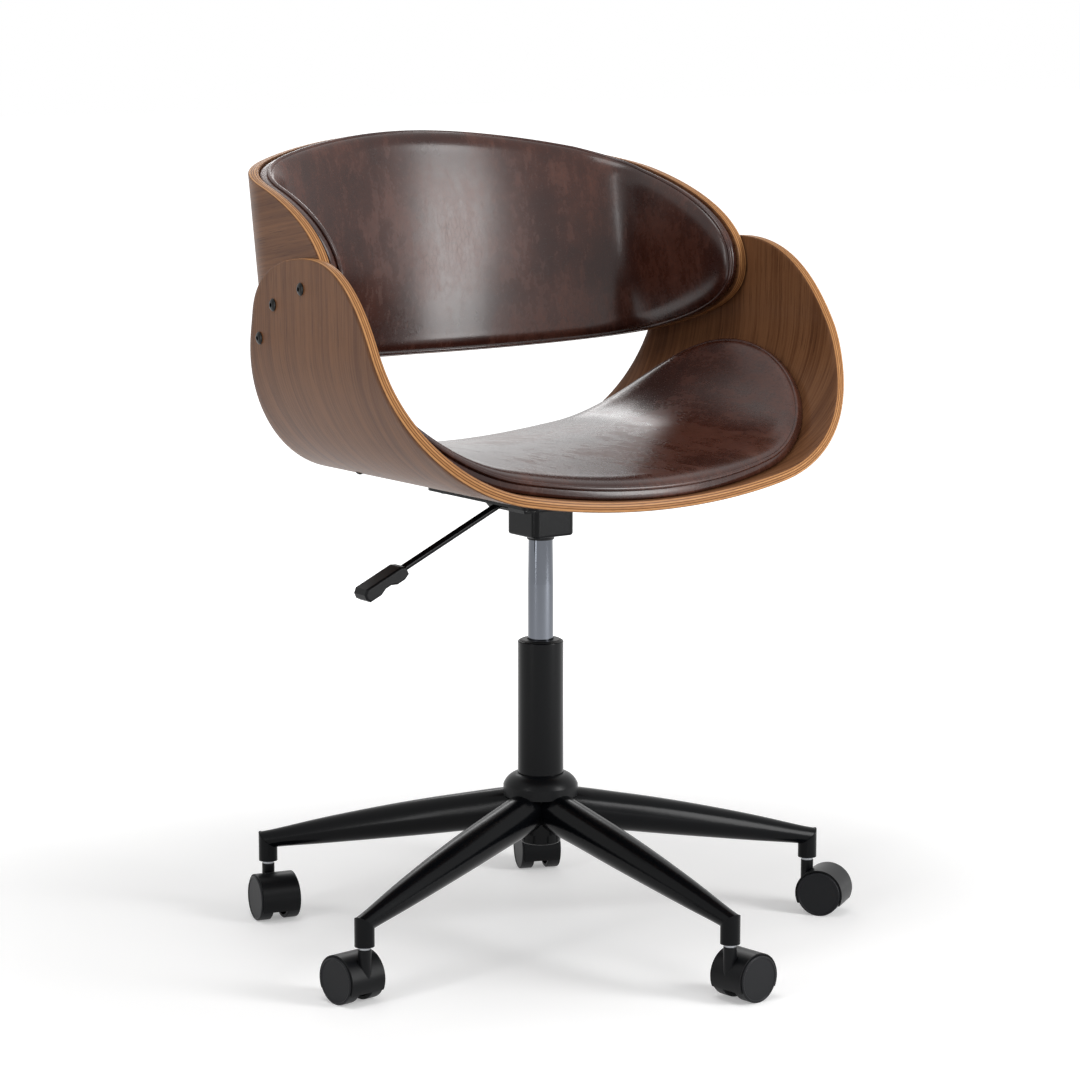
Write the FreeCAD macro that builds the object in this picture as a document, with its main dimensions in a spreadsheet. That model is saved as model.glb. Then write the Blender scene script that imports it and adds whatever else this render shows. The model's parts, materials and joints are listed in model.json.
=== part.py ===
"""Bankers swivel chair: a bent plywood seat and back on a five-star base with gas lift.

Millimetres. +Z is up, the sitter faces -Y, and the origin lies on the floor under the column.
Every size comes from the sheet "Dims"; positions are worked out from those sizes.
"""
import FreeCAD, Part
import math
import os
import Sketcher
from FreeCAD import Placement, Rotation, Vector

doc = FreeCAD.newDocument("swivel_chair")

# %% Driving dimensions
SIZES = (
    # casters
    ("leg_count", 5),
    ("caster_circle", 640.0),
    ("first_leg_angle", 56.0),
    ("wheel_diameter", 50.0),
    ("wheel_width", 15.0),
    ("wheel_side_gap", 0.6),
    ("wheel_rim_wall", 3.5),
    ("wheel_disc_wall", 2.6),
    ("wheel_hub_diameter", 16.0),
    ("web_width", 15.6),
    ("hood_wall", 1.6),
    ("hood_gap", 0.7),
    ("hood_floor_height", 13.0),
    ("disc_proud", 1.8),
    ("axle_diameter", 6.0),
    ("axle_cover", 2.6),
    ("trail", 20.0),
    ("swivel_1", 248.0),
    ("swivel_2", 258.0),
    ("swivel_3", 97.0),
    ("swivel_4", 6.0),
    ("swivel_5", 304.0),
    ("stem_diameter", 10.0),
    ("stem_depth_in_hood", 28.0),
    ("stem_depth_in_socket", 24.0),
    ("collar_diameter", 12.6),
    ("boss_diameter", 14.0),
    ("boss_rise", 9.0),
    ("boss_top", "=wheel_diameter + boss_rise"),
    ("grip_ring_height", 6.0),
    ("grip_ring_depth", 0.9),
    # legs, sockets and hub
    ("socket_diameter", 21.0),
    ("collar_gap", 3.4),
    ("socket_bottom", "=boss_top + collar_gap"),
    ("leg_root_diameter", 43.5),
    ("tip_rise", 24.1),
    ("leg_tip_height", "=socket_bottom + tip_rise"),
    ("leg_fall", 59.1),
    ("leg_root_height", "=leg_tip_height + leg_fall"),
    ("leg_bow", 1.9),
    ("leg_wall", 2.0),
    ("weld_gap", 0.05),
    ("hub_diameter", 60.0),
    ("hub_height", 52.0),
    ("hub_rise", 26.4),
    ("hub_top", "=leg_root_height + hub_rise"),
    ("drum_diameter", 78.0),
    ("drum_height", 12.0),
    ("cap_wall", 1.5),
    ("cap_skirt", "=drum_height - cap_wall / 2"),
    ("cap_dome_height", 13.0),
    # column
    ("column_diameter", 50.0),
    ("column_rise", 160.0),
    ("column_top", "=hub_top + column_rise"),
    ("column_wall", 2.0),
    ("column_foot_diameter", 44.0),
    ("column_foot_height", 13.0),
    ("column_taper", 3.0),
    ("floor_thickness", 3.0),
    ("clip_recess", 4.0),
    ("guide_length", 68.0),
    ("slide_clearance", 0.08),
    ("rod_diameter", 10.0),
    ("bearing_diameter", 32.0),
    ("bearing_height", 7.0),
    ("bumper_height", 5.0),
    ("piston_height", 10.0),
    ("lift_travel", 100.0),
    ("gas_diameter", 28.0),
    ("gas_wall", 2.0),
    ("gas_engagement", 87.0),
    ("taper_length", 92.0),
    ("taper_reduction", 2.5),
    ("gas_reach", 155.0),
    ("gas_top", "=column_top + gas_reach"),
    ("valve_diameter", 8.0),
    ("valve_proud", 3.2),
    ("valve_length", 50.0),
    # seat mechanism
    ("bush_drop", 43.5),
    ("bush_bottom", "=gas_top - bush_drop"),
    ("bush_diameter", 33.0),
    ("bush_flare", 7.0),
    ("casing_side", 54.0),
    ("casing_drop", 38.5),
    ("casing_bottom", "=gas_top - casing_drop"),
    ("casing_corner", 7.0),
    ("casing_edge", 3.0),
    ("pan_drop", 8.5),
    ("pan_bottom", "=gas_top - pan_drop"),
    ("pan_width", 90.0),
    ("pan_depth", 66.0),
    ("pan_flare", 9.0),
    ("plate_thickness", 3.0),
    ("pan_height", 17.5),
    ("plate_top", "=pan_bottom + pan_height"),
    ("plate_width", 172.0),
    ("plate_depth", 200.0),
    ("plate_corner", 14.0),
    ("screw_pitch_x", 140.0),
    ("screw_pitch_y", 160.0),
    ("screw_diameter", 6.0),
    ("screw_head_diameter", 11.0),
    ("screw_head_height", 3.5),
    ("screw_clearance", 0.3),
    ("insert_diameter", 9.0),
    ("insert_depth", 8.5),
    ("insert_sink", 0.8),
    ("spacer_diameter", 22.0),
    ("lever_pivot_x", -38.0),
    ("lever_pivot_drop", 2.4),
    ("lever_pivot_height", "=plate_top - lever_pivot_drop"),
    ("lever_diameter", 8.0),
    ("lever_bar_length", 44.0),
    ("lever_bar_rise", 3.2),
    ("lever_droop", 24.8),
    ("lever_length", 187.0),
    ("lever_button_gap", 0.3),
    ("pin_diameter", 5.0),
    ("ear_thickness", 3.0),
    ("grip_length", 58.0),
    ("grip_width", 24.0),
    ("grip_height", 15.0),
    # bent seat shell
    ("ply_thickness", 11.5),
    ("spacer_height", 3.4),
    ("seat_underside", "=plate_top + spacer_height"),
    ("seat_bottom_radius", 794.0),
    ("seat_bend_radius", 166.0),
    ("arm_spread", 286.6),
    ("arm_toe_in", 0.093),
    ("seat_slope", 0.0159),
    ("seat_half_strip", 467.0),
    ("seat_front", 222.0),
    ("seat_rear", 225.0),
    ("arm_top_offset", 5.0),
    ("waist_strip", 355.0),
    ("waist_front", 143.0),
    ("shoulder_strip", 410.0),
    ("shoulder_rear", 138.0),
    # seat pad
    ("pad_half_strip", 345.0),
    ("pad_half_depth", 212.0),
    ("pad_offset", 5.0),
    ("pad_border", 9.5),
    ("welt_height", 4.6),
    ("welt_bulge", 2.0),
    ("pad_shoulder", 8.0),
    ("pad_shoulder_run", 24.0),
    ("pad_crown", 6.0),
    ("pad_gap", 0.8),
    ("pad_screw_strip", 177.0),
    ("pad_screw_rear", 98.0),
    ("pad_screw_diameter", 4.5),
    ("pad_screw_head", 12.0),
    ("pad_screw_bite", 8.0),
    # bent back shell
    ("back_recline", 9.0),
    ("back_rear", 243.0),
    ("back_rise", 135.6),
    ("back_height", "=seat_underside + back_rise"),
    ("back_radius", 476.0),
    ("back_bend_radius", 104.0),
    ("back_half_strip", 452.0),
    ("back_crest", 239.0),
    ("back_tip", 62.0),
    ("back_foot", 12.0),
    ("back_clearance", 1.6),
    ("back_pad_inset", 2.5),
    ("back_pad_border", 8.0),
    # arm bolts
    ("bolt_diameter", 6.0),
    ("bolt_head_diameter", 13.5),
    ("bolt_head_height", 3.2),
    ("bolt_hole_clearance", 0.3),
    ("bolt_seat_gap", 0.45),
    ("bolt_1_forward", 233.0),
    ("bolt_1_up", 57.0),
    ("bolt_2_forward", 165.0),
    ("bolt_2_up", 46.0),
    ("bolt_3_forward", 125.0),
    ("bolt_3_up", 14.0),
    ("press_gap", 0.02),
    ("running_gap", 0.05),
)

dims = doc.addObject("Spreadsheet::Sheet", "Dims")


class Size:
    """A number that carries the sheet formula it comes from, so that shapes can be bound to it."""

    def __init__(self, value, text):
        self.value = float(value)
        self.text = text

    def __float__(self):
        return self.value

    def __add__(self, other):
        other = size(other)
        return Size(self.value + other.value, "(%s + %s)" % (self.text, other.text))

    def __sub__(self, other):
        other = size(other)
        return Size(self.value - other.value, "(%s - %s)" % (self.text, other.text))

    def __mul__(self, other):
        other = size(other)
        return Size(self.value * other.value, "(%s * %s)" % (self.text, other.text))

    def __truediv__(self, other):
        other = size(other)
        return Size(self.value / other.value, "(%s / %s)" % (self.text, other.text))

    def __radd__(self, other):
        return size(other) + self

    def __rsub__(self, other):
        return size(other) - self

    def __rmul__(self, other):
        return size(other) * self

    def __rtruediv__(self, other):
        return size(other) / self

    def __neg__(self):
        return size(0) - self


def size(number):
    """Take a plain number or a Size and give a Size."""
    if isinstance(number, Size):
        return number
    return Size(number, "(%r)" % float(number))


def cosine(angle):
    angle = size(angle)
    return Size(math.cos(math.radians(angle.value)), "cos(%s)" % angle.text)


def sine(angle):
    angle = size(angle)
    return Size(math.sin(math.radians(angle.value)), "sin(%s)" % angle.text)


def slope_of(rise, reach):
    """Angle in degrees of a slope with a given rise and reach."""
    angle = math.degrees(math.atan2(float(rise), float(reach)))
    return Size(angle, "(atan2(%s; %s) / 1 deg)" % (size(rise).text, size(reach).text))


class Names:
    """Every sheet word as an attribute."""


d = Names()
for row, (word, number) in enumerate(SIZES, 1):
    dims.set("A%d" % row, word)
    dims.setAlias("B%d" % row, word)
for row, (word, number) in enumerate(SIZES, 1):
    dims.set("B%d" % row, str(number))
doc.recompute()
for word, number in SIZES:
    setattr(d, word, Size(dims.get(word), "Dims." + word))

parts = []


def keep(item, name):
    """List an object as a finished piece under its own name."""
    item.Label = name
    parts.append(item)
    return item


# %% Helpers for sketched bodies
def new_body(name):
    return doc.addObject("PartDesign::Body", name + "_body")


def sketch_on(body, name, role, lift=0):
    """Add a sketch to one of the body's own origin planes, raised by lift."""
    plane = [item for item in body.Origin.OriginFeatures if item.Role == role][0]
    sketch = body.newObject("Sketcher::SketchObject", name)
    sketch.AttachmentSupport = [(plane, "")]
    sketch.MapMode = "FlatFace"
    sketch.setExpression("AttachmentOffset.Base.z", size(lift).text)
    return sketch


def pin_point(sketch, edge, end, u, v):
    """Hold one end of an edge at a place given by two sizes."""
    for kind, value in (("DistanceX", size(u)), ("DistanceY", size(v))):
        if value.text == "(0.0)":
            axis = -2 if kind == "DistanceX" else -1
            sketch.addConstraint(Sketcher.Constraint("PointOnObject", edge, end, axis))
            continue
        index = sketch.addConstraint(Sketcher.Constraint(kind, -1, 1, edge, end, value.value))
        sketch.setExpression("Constraints[%d]" % index, value.text)


def arc_centre(start, finish, radius):
    """Centre of the arc from start to finish; a positive radius turns left, a negative one right."""
    half = (finish - start) / 2
    side = Vector(-half.y, half.x, 0).normalize()
    rise = math.sqrt(max(radius * radius - half.Length ** 2, 0.0))
    turn = 1 if radius > 0 else -1
    return start + half + side * rise * turn


def closed_outline(sketch, corners):
    """Closed run of lines and arcs; a corner with a third size starts an arc of that radius."""
    count = len(corners)
    ends = []
    for index, corner in enumerate(corners):
        following = corners[(index + 1) % count]
        start = Vector(float(corner[0]), float(corner[1]), 0)
        finish = Vector(float(following[0]), float(following[1]), 0)
        if len(corner) == 2:
            sketch.addGeometry(Part.LineSegment(start, finish))
            ends.append((1, 2))
            continue
        radius = float(corner[2])
        centre = arc_centre(start, finish, radius)
        begin = math.atan2(start.y - centre.y, start.x - centre.x)
        stop = math.atan2(finish.y - centre.y, finish.x - centre.x)
        circle = Part.Circle(centre, Vector(0, 0, 1), abs(radius))
        if radius > 0:
            sketch.addGeometry(Part.ArcOfCircle(circle, begin, stop))
            ends.append((1, 2))
        else:
            sketch.addGeometry(Part.ArcOfCircle(circle, stop, begin))
            ends.append((2, 1))
    for index in range(count):
        following = (index + 1) % count
        joint = Sketcher.Constraint("Coincident", index, ends[index][1], following, ends[following][0])
        sketch.addConstraint(joint)
    for index, corner in enumerate(corners):
        pin_point(sketch, index, ends[index][0], corner[0], corner[1])
        if len(corner) == 3:
            bend = size(corner[2])
            text = bend.text if bend.value > 0 else "(-1 * %s)" % bend.text
            held = sketch.addConstraint(Sketcher.Constraint("Radius", index, abs(bend.value)))
            sketch.setExpression("Constraints[%d]" % held, text)


def circle_in(sketch, radius, u=0, v=0):
    place = Vector(float(u), float(v), 0)
    edge = sketch.addGeometry(Part.Circle(place, Vector(0, 0, 1), float(radius)))
    held = sketch.addConstraint(Sketcher.Constraint("Radius", edge, float(radius)))
    sketch.setExpression("Constraints[%d]" % held, size(radius).text)
    pin_point(sketch, edge, 3, u, v)


def rectangle_corners(width, depth, corner=None):
    """Corners of a centred rectangle, with rounded corners when a radius is given."""
    w = size(width) / 2
    h = size(depth) / 2
    if corner is None:
        return [(-w, -h), (w, -h), (w, h), (-w, h)]
    r = size(corner)
    return [(-w + r, -h), (w - r, -h, r), (w, -h + r), (w, h - r, r),
            (w - r, h), (-w + r, h, r), (-w, h - r), (-w, -h + r, r)]


def place_at(item, x=0, y=0, z=0, turn=0):
    """Bind a piece's place, and its turn about Z."""
    item.Placement = Placement(Vector(0, 0, 0), Rotation(Vector(0, 0, 1), float(turn) or 1.0))
    item.setExpression("Placement.Base.x", size(x).text)
    item.setExpression("Placement.Base.y", size(y).text)
    item.setExpression("Placement.Base.z", size(z).text)
    item.setExpression("Placement.Rotation.Angle", size(turn).text)
    return item


def turned(name, corners, role="XZ_Plane", axis="V_Axis"):
    """Piece made by turning a closed profile about an axis of its sketch."""
    body = new_body(name)
    sketch = sketch_on(body, name + "_profile", role)
    closed_outline(sketch, corners)
    spin = body.newObject("PartDesign::Revolution", name + "_turning")
    spin.Profile = sketch
    spin.ReferenceAxis = (sketch, [axis])
    spin.Angle = 360
    body.Tip = spin
    return keep(body, name)


def pad_on(body, name, role, lift, draw, height, reverse=False, middle=False):
    sketch = sketch_on(body, name + "_sketch", role, lift)
    draw(sketch)
    pad = body.newObject("PartDesign::Pad", name)
    pad.Profile = sketch
    pad.Type = 0
    pad.Length = float(height)
    pad.setExpression("Length", size(height).text)
    pad.Reversed = reverse
    pad.Midplane = middle
    body.Tip = pad
    return pad


def pocket_in(body, name, role, lift, draw, depth, reverse=False, middle=False):
    sketch = sketch_on(body, name + "_sketch", role, lift)
    draw(sketch)
    cut = body.newObject("PartDesign::Pocket", name)
    cut.Profile = sketch
    cut.Type = 0
    cut.Length = float(depth)
    cut.setExpression("Length", size(depth).text)
    cut.Reversed = reverse
    cut.Midplane = middle
    body.Tip = cut
    return cut


def rounded(body, name, radius, wanted):
    """Round the edges of the body's last shape that the test wanted picks."""
    base = body.Tip
    edges = ["Edge%d" % (k + 1) for k, edge in enumerate(base.Shape.Edges) if wanted(edge)]
    soft = body.newObject("PartDesign::Fillet", name)
    soft.Base = (base, edges)
    soft.Radius = float(radius)
    soft.setExpression("Radius", size(radius).text)
    body.Tip = soft
    return soft


def loft_between(body, name, kind, low, low_corners, high, high_corners):
    """Straight loft between two sketches on levels low and high."""
    first = sketch_on(body, name + "_low", "XY_Plane", low)
    closed_outline(first, low_corners)
    second = sketch_on(body, name + "_high", "XY_Plane", high)
    closed_outline(second, high_corners)
    loft = body.newObject("PartDesign::" + kind, name)
    loft.Profile = first
    loft.Sections = [(second, [""])]
    loft.Ruled = True
    body.Tip = loft
    return loft


# %% Helpers for primitives and booleans
def cylinder(name, radius, height, x=0, y=0, z=0, tilt=None):
    """Cylinder along +Z, or along another axis when tilt gives (axis, degrees)."""
    item = doc.addObject("Part::Cylinder", name)
    item.setExpression("Radius", size(radius).text)
    item.setExpression("Height", size(height).text)
    if tilt is not None:
        item.Placement = Placement(Vector(0, 0, 0), Rotation(tilt[0], float(tilt[1])))
        item.setExpression("Placement.Rotation.Angle", size(tilt[1]).text)
    item.setExpression("Placement.Base.x", size(x).text)
    item.setExpression("Placement.Base.y", size(y).text)
    item.setExpression("Placement.Base.z", size(z).text)
    return item


def block(name, length, width, height, x=0, y=0, z=0):
    """Box whose low corner lies at x, y, z."""
    item = doc.addObject("Part::Box", name)
    for prop, value in (("Length", length), ("Width", width), ("Height", height)):
        item.setExpression(prop, size(value).text)
    item.setExpression("Placement.Base.x", size(x).text)
    item.setExpression("Placement.Base.y", size(y).text)
    item.setExpression("Placement.Base.z", size(z).text)
    return item


def fused(name, items):
    item = doc.addObject("Part::MultiFuse", name)
    item.Shapes = items
    return item


def minus(name, base, tools):
    item = doc.addObject("Part::Cut", name)
    item.Base = base
    item.Tool = tools[0] if len(tools) == 1 else fused(name + "_tools", tools)
    return item


def feature(name, shape):
    """Piece whose shape is worked out below from the sheet's values."""
    item = doc.addObject("Part::Feature", name + "_shape")
    item.Shape = shape
    return keep(item, name)


ALONG_Y = Vector(1, 0, 0)

# %% Casters
wheel_radius = d.wheel_diameter / 2
caster_radius = d.caster_circle / 2
hood_inner = wheel_radius + d.hood_gap
hood_outer = hood_inner + d.hood_wall
wheel_inner_side = d.web_width / 2 + d.wheel_side_gap
wheel_outer_side = wheel_inner_side + d.wheel_width
hood_width = (wheel_outer_side - d.disc_proud) * 2
axle_radius = d.axle_diameter / 2
axle_end = wheel_outer_side - d.axle_cover
leg_step = 360 / d.leg_count

# Each caster stands swivelled its own way, in degrees from +X.
swivels = (d.swivel_1, d.swivel_2, d.swivel_3, d.swivel_4, d.swivel_5)


def wheel_profile(side):
    """Half section of a wheel: rim, disc and hub, with u along the axle and v outwards."""
    inner = wheel_inner_side * side
    outer = wheel_outer_side * side
    bore = axle_radius + d.running_gap
    hub = d.wheel_hub_diameter / 2
    under_rim = wheel_radius - d.wheel_rim_wall
    under_disc = outer - d.wheel_disc_wall * side
    bore_end = outer - (d.axle_cover - 0.6) * side
    dish = outer - 0.6 * side
    edge = -1.6 * side
    return [(inner, bore), (inner, hub), (under_disc - 1.2 * side, hub), (under_disc - 1.2 * side, under_rim),
            (inner, under_rim), (inner, wheel_radius - 0.8), (inner + 0.8 * side, wheel_radius),
            (outer - 1.6 * side, wheel_radius, edge), (outer, wheel_radius - 1.6),
            (outer, under_rim + 1.4), (dish, under_rim + 0.6), (dish, 0), (bore_end, 0), (bore_end, bore)]


def make_caster(number):
    leg_angle = d.first_leg_angle + leg_step * (number - 1)
    swivel = swivels[(number - 1) % len(swivels)]
    stem_x = caster_radius * cosine(leg_angle)
    stem_y = caster_radius * sine(leg_angle)
    axle_x = stem_x + d.trail * cosine(swivel)
    axle_y = stem_y + d.trail * sine(swivel)
    tag = "_%d" % number
    # hood: a drum over both wheels, open below, with a web between them and a boss for the stem
    half = hood_width / 2
    drum = cylinder("drum" + tag, hood_outer, hood_width, d.trail, half, wheel_radius, (ALONG_Y, 90))
    boss = cylinder("boss" + tag, d.boss_diameter / 2, d.boss_top - wheel_radius, 0, 0, wheel_radius)
    room = half - d.web_width / 2 + 1
    web = -d.web_width / 2
    left = cylinder("left_room" + tag, hood_inner, room, d.trail, half + 1, wheel_radius, (ALONG_Y, 90))
    right = cylinder("right_room" + tag, hood_inner, room, d.trail, web, wheel_radius, (ALONG_Y, 90))
    under = block("under" + tag, hood_outer * 4, hood_width * 2, d.hood_floor_height * 2,
                  d.trail - hood_outer * 2, -hood_width, -d.hood_floor_height)
    stem_bore = cylinder("stem_bore" + tag, d.stem_diameter / 2 + d.running_gap,
                         d.stem_depth_in_hood + 5, 0, 0, d.boss_top - d.stem_depth_in_hood)
    axle_bore = cylinder("axle_bore" + tag, axle_radius + d.press_gap, hood_width, d.trail,
                         half, wheel_radius, (ALONG_Y, 90))
    raw = minus("hood_raw" + tag, fused("hood_stock" + tag, [drum, boss]),
                [left, right, under, stem_bore, axle_bore])
    place_at(raw, stem_x, stem_y, 0, swivel)
    keep(raw, "caster_hood" + tag)
    # axle and the two wheels turn about the hood's own cross axis
    axle = turned("caster_axle" + tag, [(-axle_end, 0), (axle_end, 0), (axle_end, axle_radius),
                                        (-axle_end, axle_radius)], "YZ_Plane", "H_Axis")
    place_at(axle, axle_x, axle_y, wheel_radius, swivel)
    for side, word in ((1, "left"), (-1, "right")):
        wheel = turned("wheel%s_%s" % (tag, word), wheel_profile(side), "YZ_Plane", "H_Axis")
        place_at(wheel, axle_x, axle_y, wheel_radius, swivel)


# %% Legs and sockets
tip_radius = d.socket_diameter / 2
root_start = d.hub_diameter / 2 - 6
ring_shares = (0, 0.17, 0.34, 0.51, 0.68, 0.84, 0.96, 1.06)


def leg_section(name, share, shrink):
    """Round section of a leg at a share of its length, square to the leg's slope."""
    reach = root_start + (caster_radius - root_start) * share
    height = d.leg_root_height - d.leg_fall * share + d.leg_bow * (4 * share * (1 - share))
    narrowing = min(1.0, share / 0.96) ** 2
    width = d.leg_root_diameter - (d.leg_root_diameter - d.socket_diameter) * narrowing
    ring = doc.addObject("Part::Circle", name)
    ring.setExpression("Radius", (width / 2 - shrink).text)
    slope = slope_of(d.leg_fall, caster_radius - root_start)
    ring.Placement = Placement(Vector(0, 0, 0), Rotation(Vector(0, 1, 0), 90))
    ring.setExpression("Placement.Rotation.Angle", (slope + 90).text)
    ring.setExpression("Placement.Base.x", reach.text)
    ring.setExpression("Placement.Base.z", height.text)
    return ring


def leg_loft(name, shrink):
    loft = doc.addObject("Part::Loft", name)
    rings = []
    for index, share in enumerate(ring_shares):
        rings.append(leg_section("%s_ring_%d" % (name, index), share, shrink))
    loft.Sections = rings
    loft.Solid = True
    loft.Ruled = False
    return loft


def mitre_block(name, side):
    """Everything beyond the plane halfway to the next leg, on one side."""
    item = doc.addObject("Part::Box", name)
    reach = d.hub_diameter * 2
    for prop in ("Length", "Width", "Height"):
        item.setExpression(prop, (reach * 2).text)
    half = 180 / d.leg_count
    item.Placement = Placement(Vector(0, 0, 0), Rotation(Vector(0, 0, 1), 36))
    turn = half if side > 0 else -half - 90
    item.setExpression("Placement.Rotation.Angle", turn.text)
    item.setExpression("Placement.Base.x", (d.weld_gap / sine(half)).text)
    item.setExpression("Placement.Base.y", "0")
    return item


tip_slope = slope_of(d.leg_fall + d.leg_bow * 4, caster_radius - root_start)
elbow_tilt = 45 - tip_slope / 2


def elbow_block(name, above):
    """Everything above, or below, the plane in which a leg's tip and its socket meet."""
    side = d.socket_diameter * 3
    item = doc.addObject("Part::Box", name)
    for prop in ("Length", "Width", "Height"):
        item.setExpression(prop, side.text)
    item.Placement = Placement(Vector(0, 0, 0), Rotation(Vector(0, 1, 0), -40))
    item.setExpression("Placement.Rotation.Angle", (-elbow_tilt).text)
    lift = -d.weld_gap / 2 if above else d.weld_gap / 2 - side
    base_x = caster_radius - side / 2 * cosine(elbow_tilt) - lift * sine(elbow_tilt)
    base_z = d.leg_tip_height - side / 2 * sine(elbow_tilt) + lift * cosine(elbow_tilt)
    item.setExpression("Placement.Base.x", base_x.text)
    item.setExpression("Placement.Base.y", (-side / 2).text)
    item.setExpression("Placement.Base.z", base_z.text)
    return item


cap_radius = d.drum_diameter / 2 + 0.3 + d.cap_wall
cap_bottom = d.hub_top - d.cap_skirt
stem_top = d.socket_bottom + d.stem_depth_in_socket
socket_bore = d.stem_diameter / 2 + 0.5 + d.press_gap


def make_leg(number):
    tag = "_%d" % number
    angle = d.first_leg_angle + leg_step * (number - 1)
    outer = leg_loft("leg_outside" + tag, size(0))
    inner = leg_loft("leg_inside" + tag, d.leg_wall)
    tools = [inner,
             cylinder("sleeve_cut" + tag, d.hub_diameter / 2 + d.weld_gap, d.hub_top, 0, 0, 0),
             cylinder("cap_cut" + tag, cap_radius + d.weld_gap, d.hub_height * 2,
                      0, 0, d.hub_top - d.drum_height - d.weld_gap),
             elbow_block("elbow_cut" + tag, False),
             mitre_block("mitre_left" + tag, 1),
             mitre_block("mitre_right" + tag, -1)]
    leg = minus("leg_cut" + tag, outer, tools)
    place_at(leg, 0, 0, 0, angle)
    keep(leg, "leg" + tag)


def make_socket(number):
    """Upright socket that meets a leg's tip in a mitre."""
    tag = "_%d" % number
    angle = d.first_leg_angle + leg_step * (number - 1)
    top = d.leg_tip_height + tip_radius * 1.25
    post = cylinder("post" + tag, tip_radius, top - d.socket_bottom, caster_radius, 0, d.socket_bottom)
    bore = cylinder("post_bore" + tag, socket_bore, d.stem_depth_in_socket + 2,
                    caster_radius, 0, d.socket_bottom - 1)
    socket = minus("socket_cut_out" + tag, post, [bore, elbow_block("roof" + tag, True)])
    place_at(socket, 0, 0, 0, angle)
    keep(socket, "leg_socket" + tag)


# %% Hub and cap
hub_bottom = d.hub_top - d.hub_height
column_radius = d.column_diameter / 2
taper_foot = column_radius - d.column_taper / 2


def make_hub():
    drum = d.drum_diameter / 2
    sleeve = d.hub_diameter / 2
    turned("hub", [(taper_foot, hub_bottom), (sleeve, hub_bottom), (sleeve, d.hub_top - d.drum_height),
                   (drum, d.hub_top - d.drum_height), (drum, d.hub_top), (column_radius, d.hub_top)])


def make_hub_cap():
    """Domed cover over the drum, with a short skirt round it."""
    inner = cap_radius - d.cap_wall
    neck = column_radius + 0.3
    under = d.hub_top + 0.2
    crown = d.hub_top + d.cap_dome_height
    dome = d.cap_dome_height * 1.6
    turned("hub_cap", [(inner, cap_bottom), (cap_radius, cap_bottom), (cap_radius, d.hub_top, dome),
                       (neck + d.cap_wall, crown), (neck, crown), (neck, crown - d.cap_wall),
                       (inner, under)])


# %% Column, bearing and gas lift
foot_radius = d.column_foot_diameter / 2
foot_bottom = hub_bottom - d.column_foot_height
tube_floor = foot_bottom + d.clip_recess
tube_inside = tube_floor + d.floor_thickness
rod_radius = d.rod_diameter / 2
rod_hole = rod_radius + d.running_gap
bearing_top = tube_inside + d.bearing_height
bumper_top = bearing_top + d.bumper_height
gas_radius = d.gas_diameter / 2
guide_bottom = d.column_top - d.guide_length
gas_bottom = guide_bottom - 20
gas_shoulder = d.gas_top - d.taper_length
gas_tip = gas_radius - d.taper_reduction / 2
chamber_radius = gas_radius - d.gas_wall
chamber_bottom = gas_bottom + 12
piston_bottom = chamber_bottom + 6
chamber_top = piston_bottom + d.piston_height + d.lift_travel + 12


def gas_width_at(height):
    """Radius of the gas cylinder's tapered top at a height."""
    return gas_radius - d.taper_reduction / 2 * ((height - gas_shoulder) / d.taper_length)


def make_column():
    wall = d.column_wall
    inner = column_radius - wall
    low_inner = foot_radius - wall
    lip = wall * 0.75
    turned("column_tube", [
        (foot_radius - 4.5, foot_bottom), (foot_radius - 2.5, foot_bottom, 2.5),
        (foot_radius, foot_bottom + 2.5), (foot_radius, hub_bottom - 1), (taper_foot, hub_bottom),
        (column_radius, d.hub_top), (column_radius, d.column_top - lip, lip),
        (column_radius - lip, d.column_top), (inner, d.column_top), (inner, d.hub_top + 6),
        (low_inner, hub_bottom + 10), (low_inner, tube_inside), (rod_hole, tube_inside),
        (rod_hole, tube_floor), (foot_radius - 4.5, tube_floor)])
    bush = column_radius - wall - d.running_gap
    slide = gas_radius + d.slide_clearance
    turned("guide_bush", [(slide, guide_bottom), (bush, guide_bottom), (bush, d.column_top + 0.5),
                          (bush - 2, d.column_top + 1.5), (slide + 0.8, d.column_top + 1.5),
                          (slide, d.column_top + 0.7)])
    ring = d.bearing_diameter / 2
    mid = tube_inside + d.bearing_height / 2
    turned("thrust_bearing", [(rod_hole, tube_inside), (ring, tube_inside), (ring, mid - 1),
                              (ring - 1.5, mid - 1), (ring - 1.5, mid + 1), (ring, mid + 1),
                              (ring, bearing_top), (rod_hole, bearing_top)])
    turned("rubber_bumper", [(rod_hole, bearing_top), (ring - 2, bearing_top), (ring - 2, bumper_top - 1.5),
                             (ring - 3.5, bumper_top), (rod_hole, bumper_top)])


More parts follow.
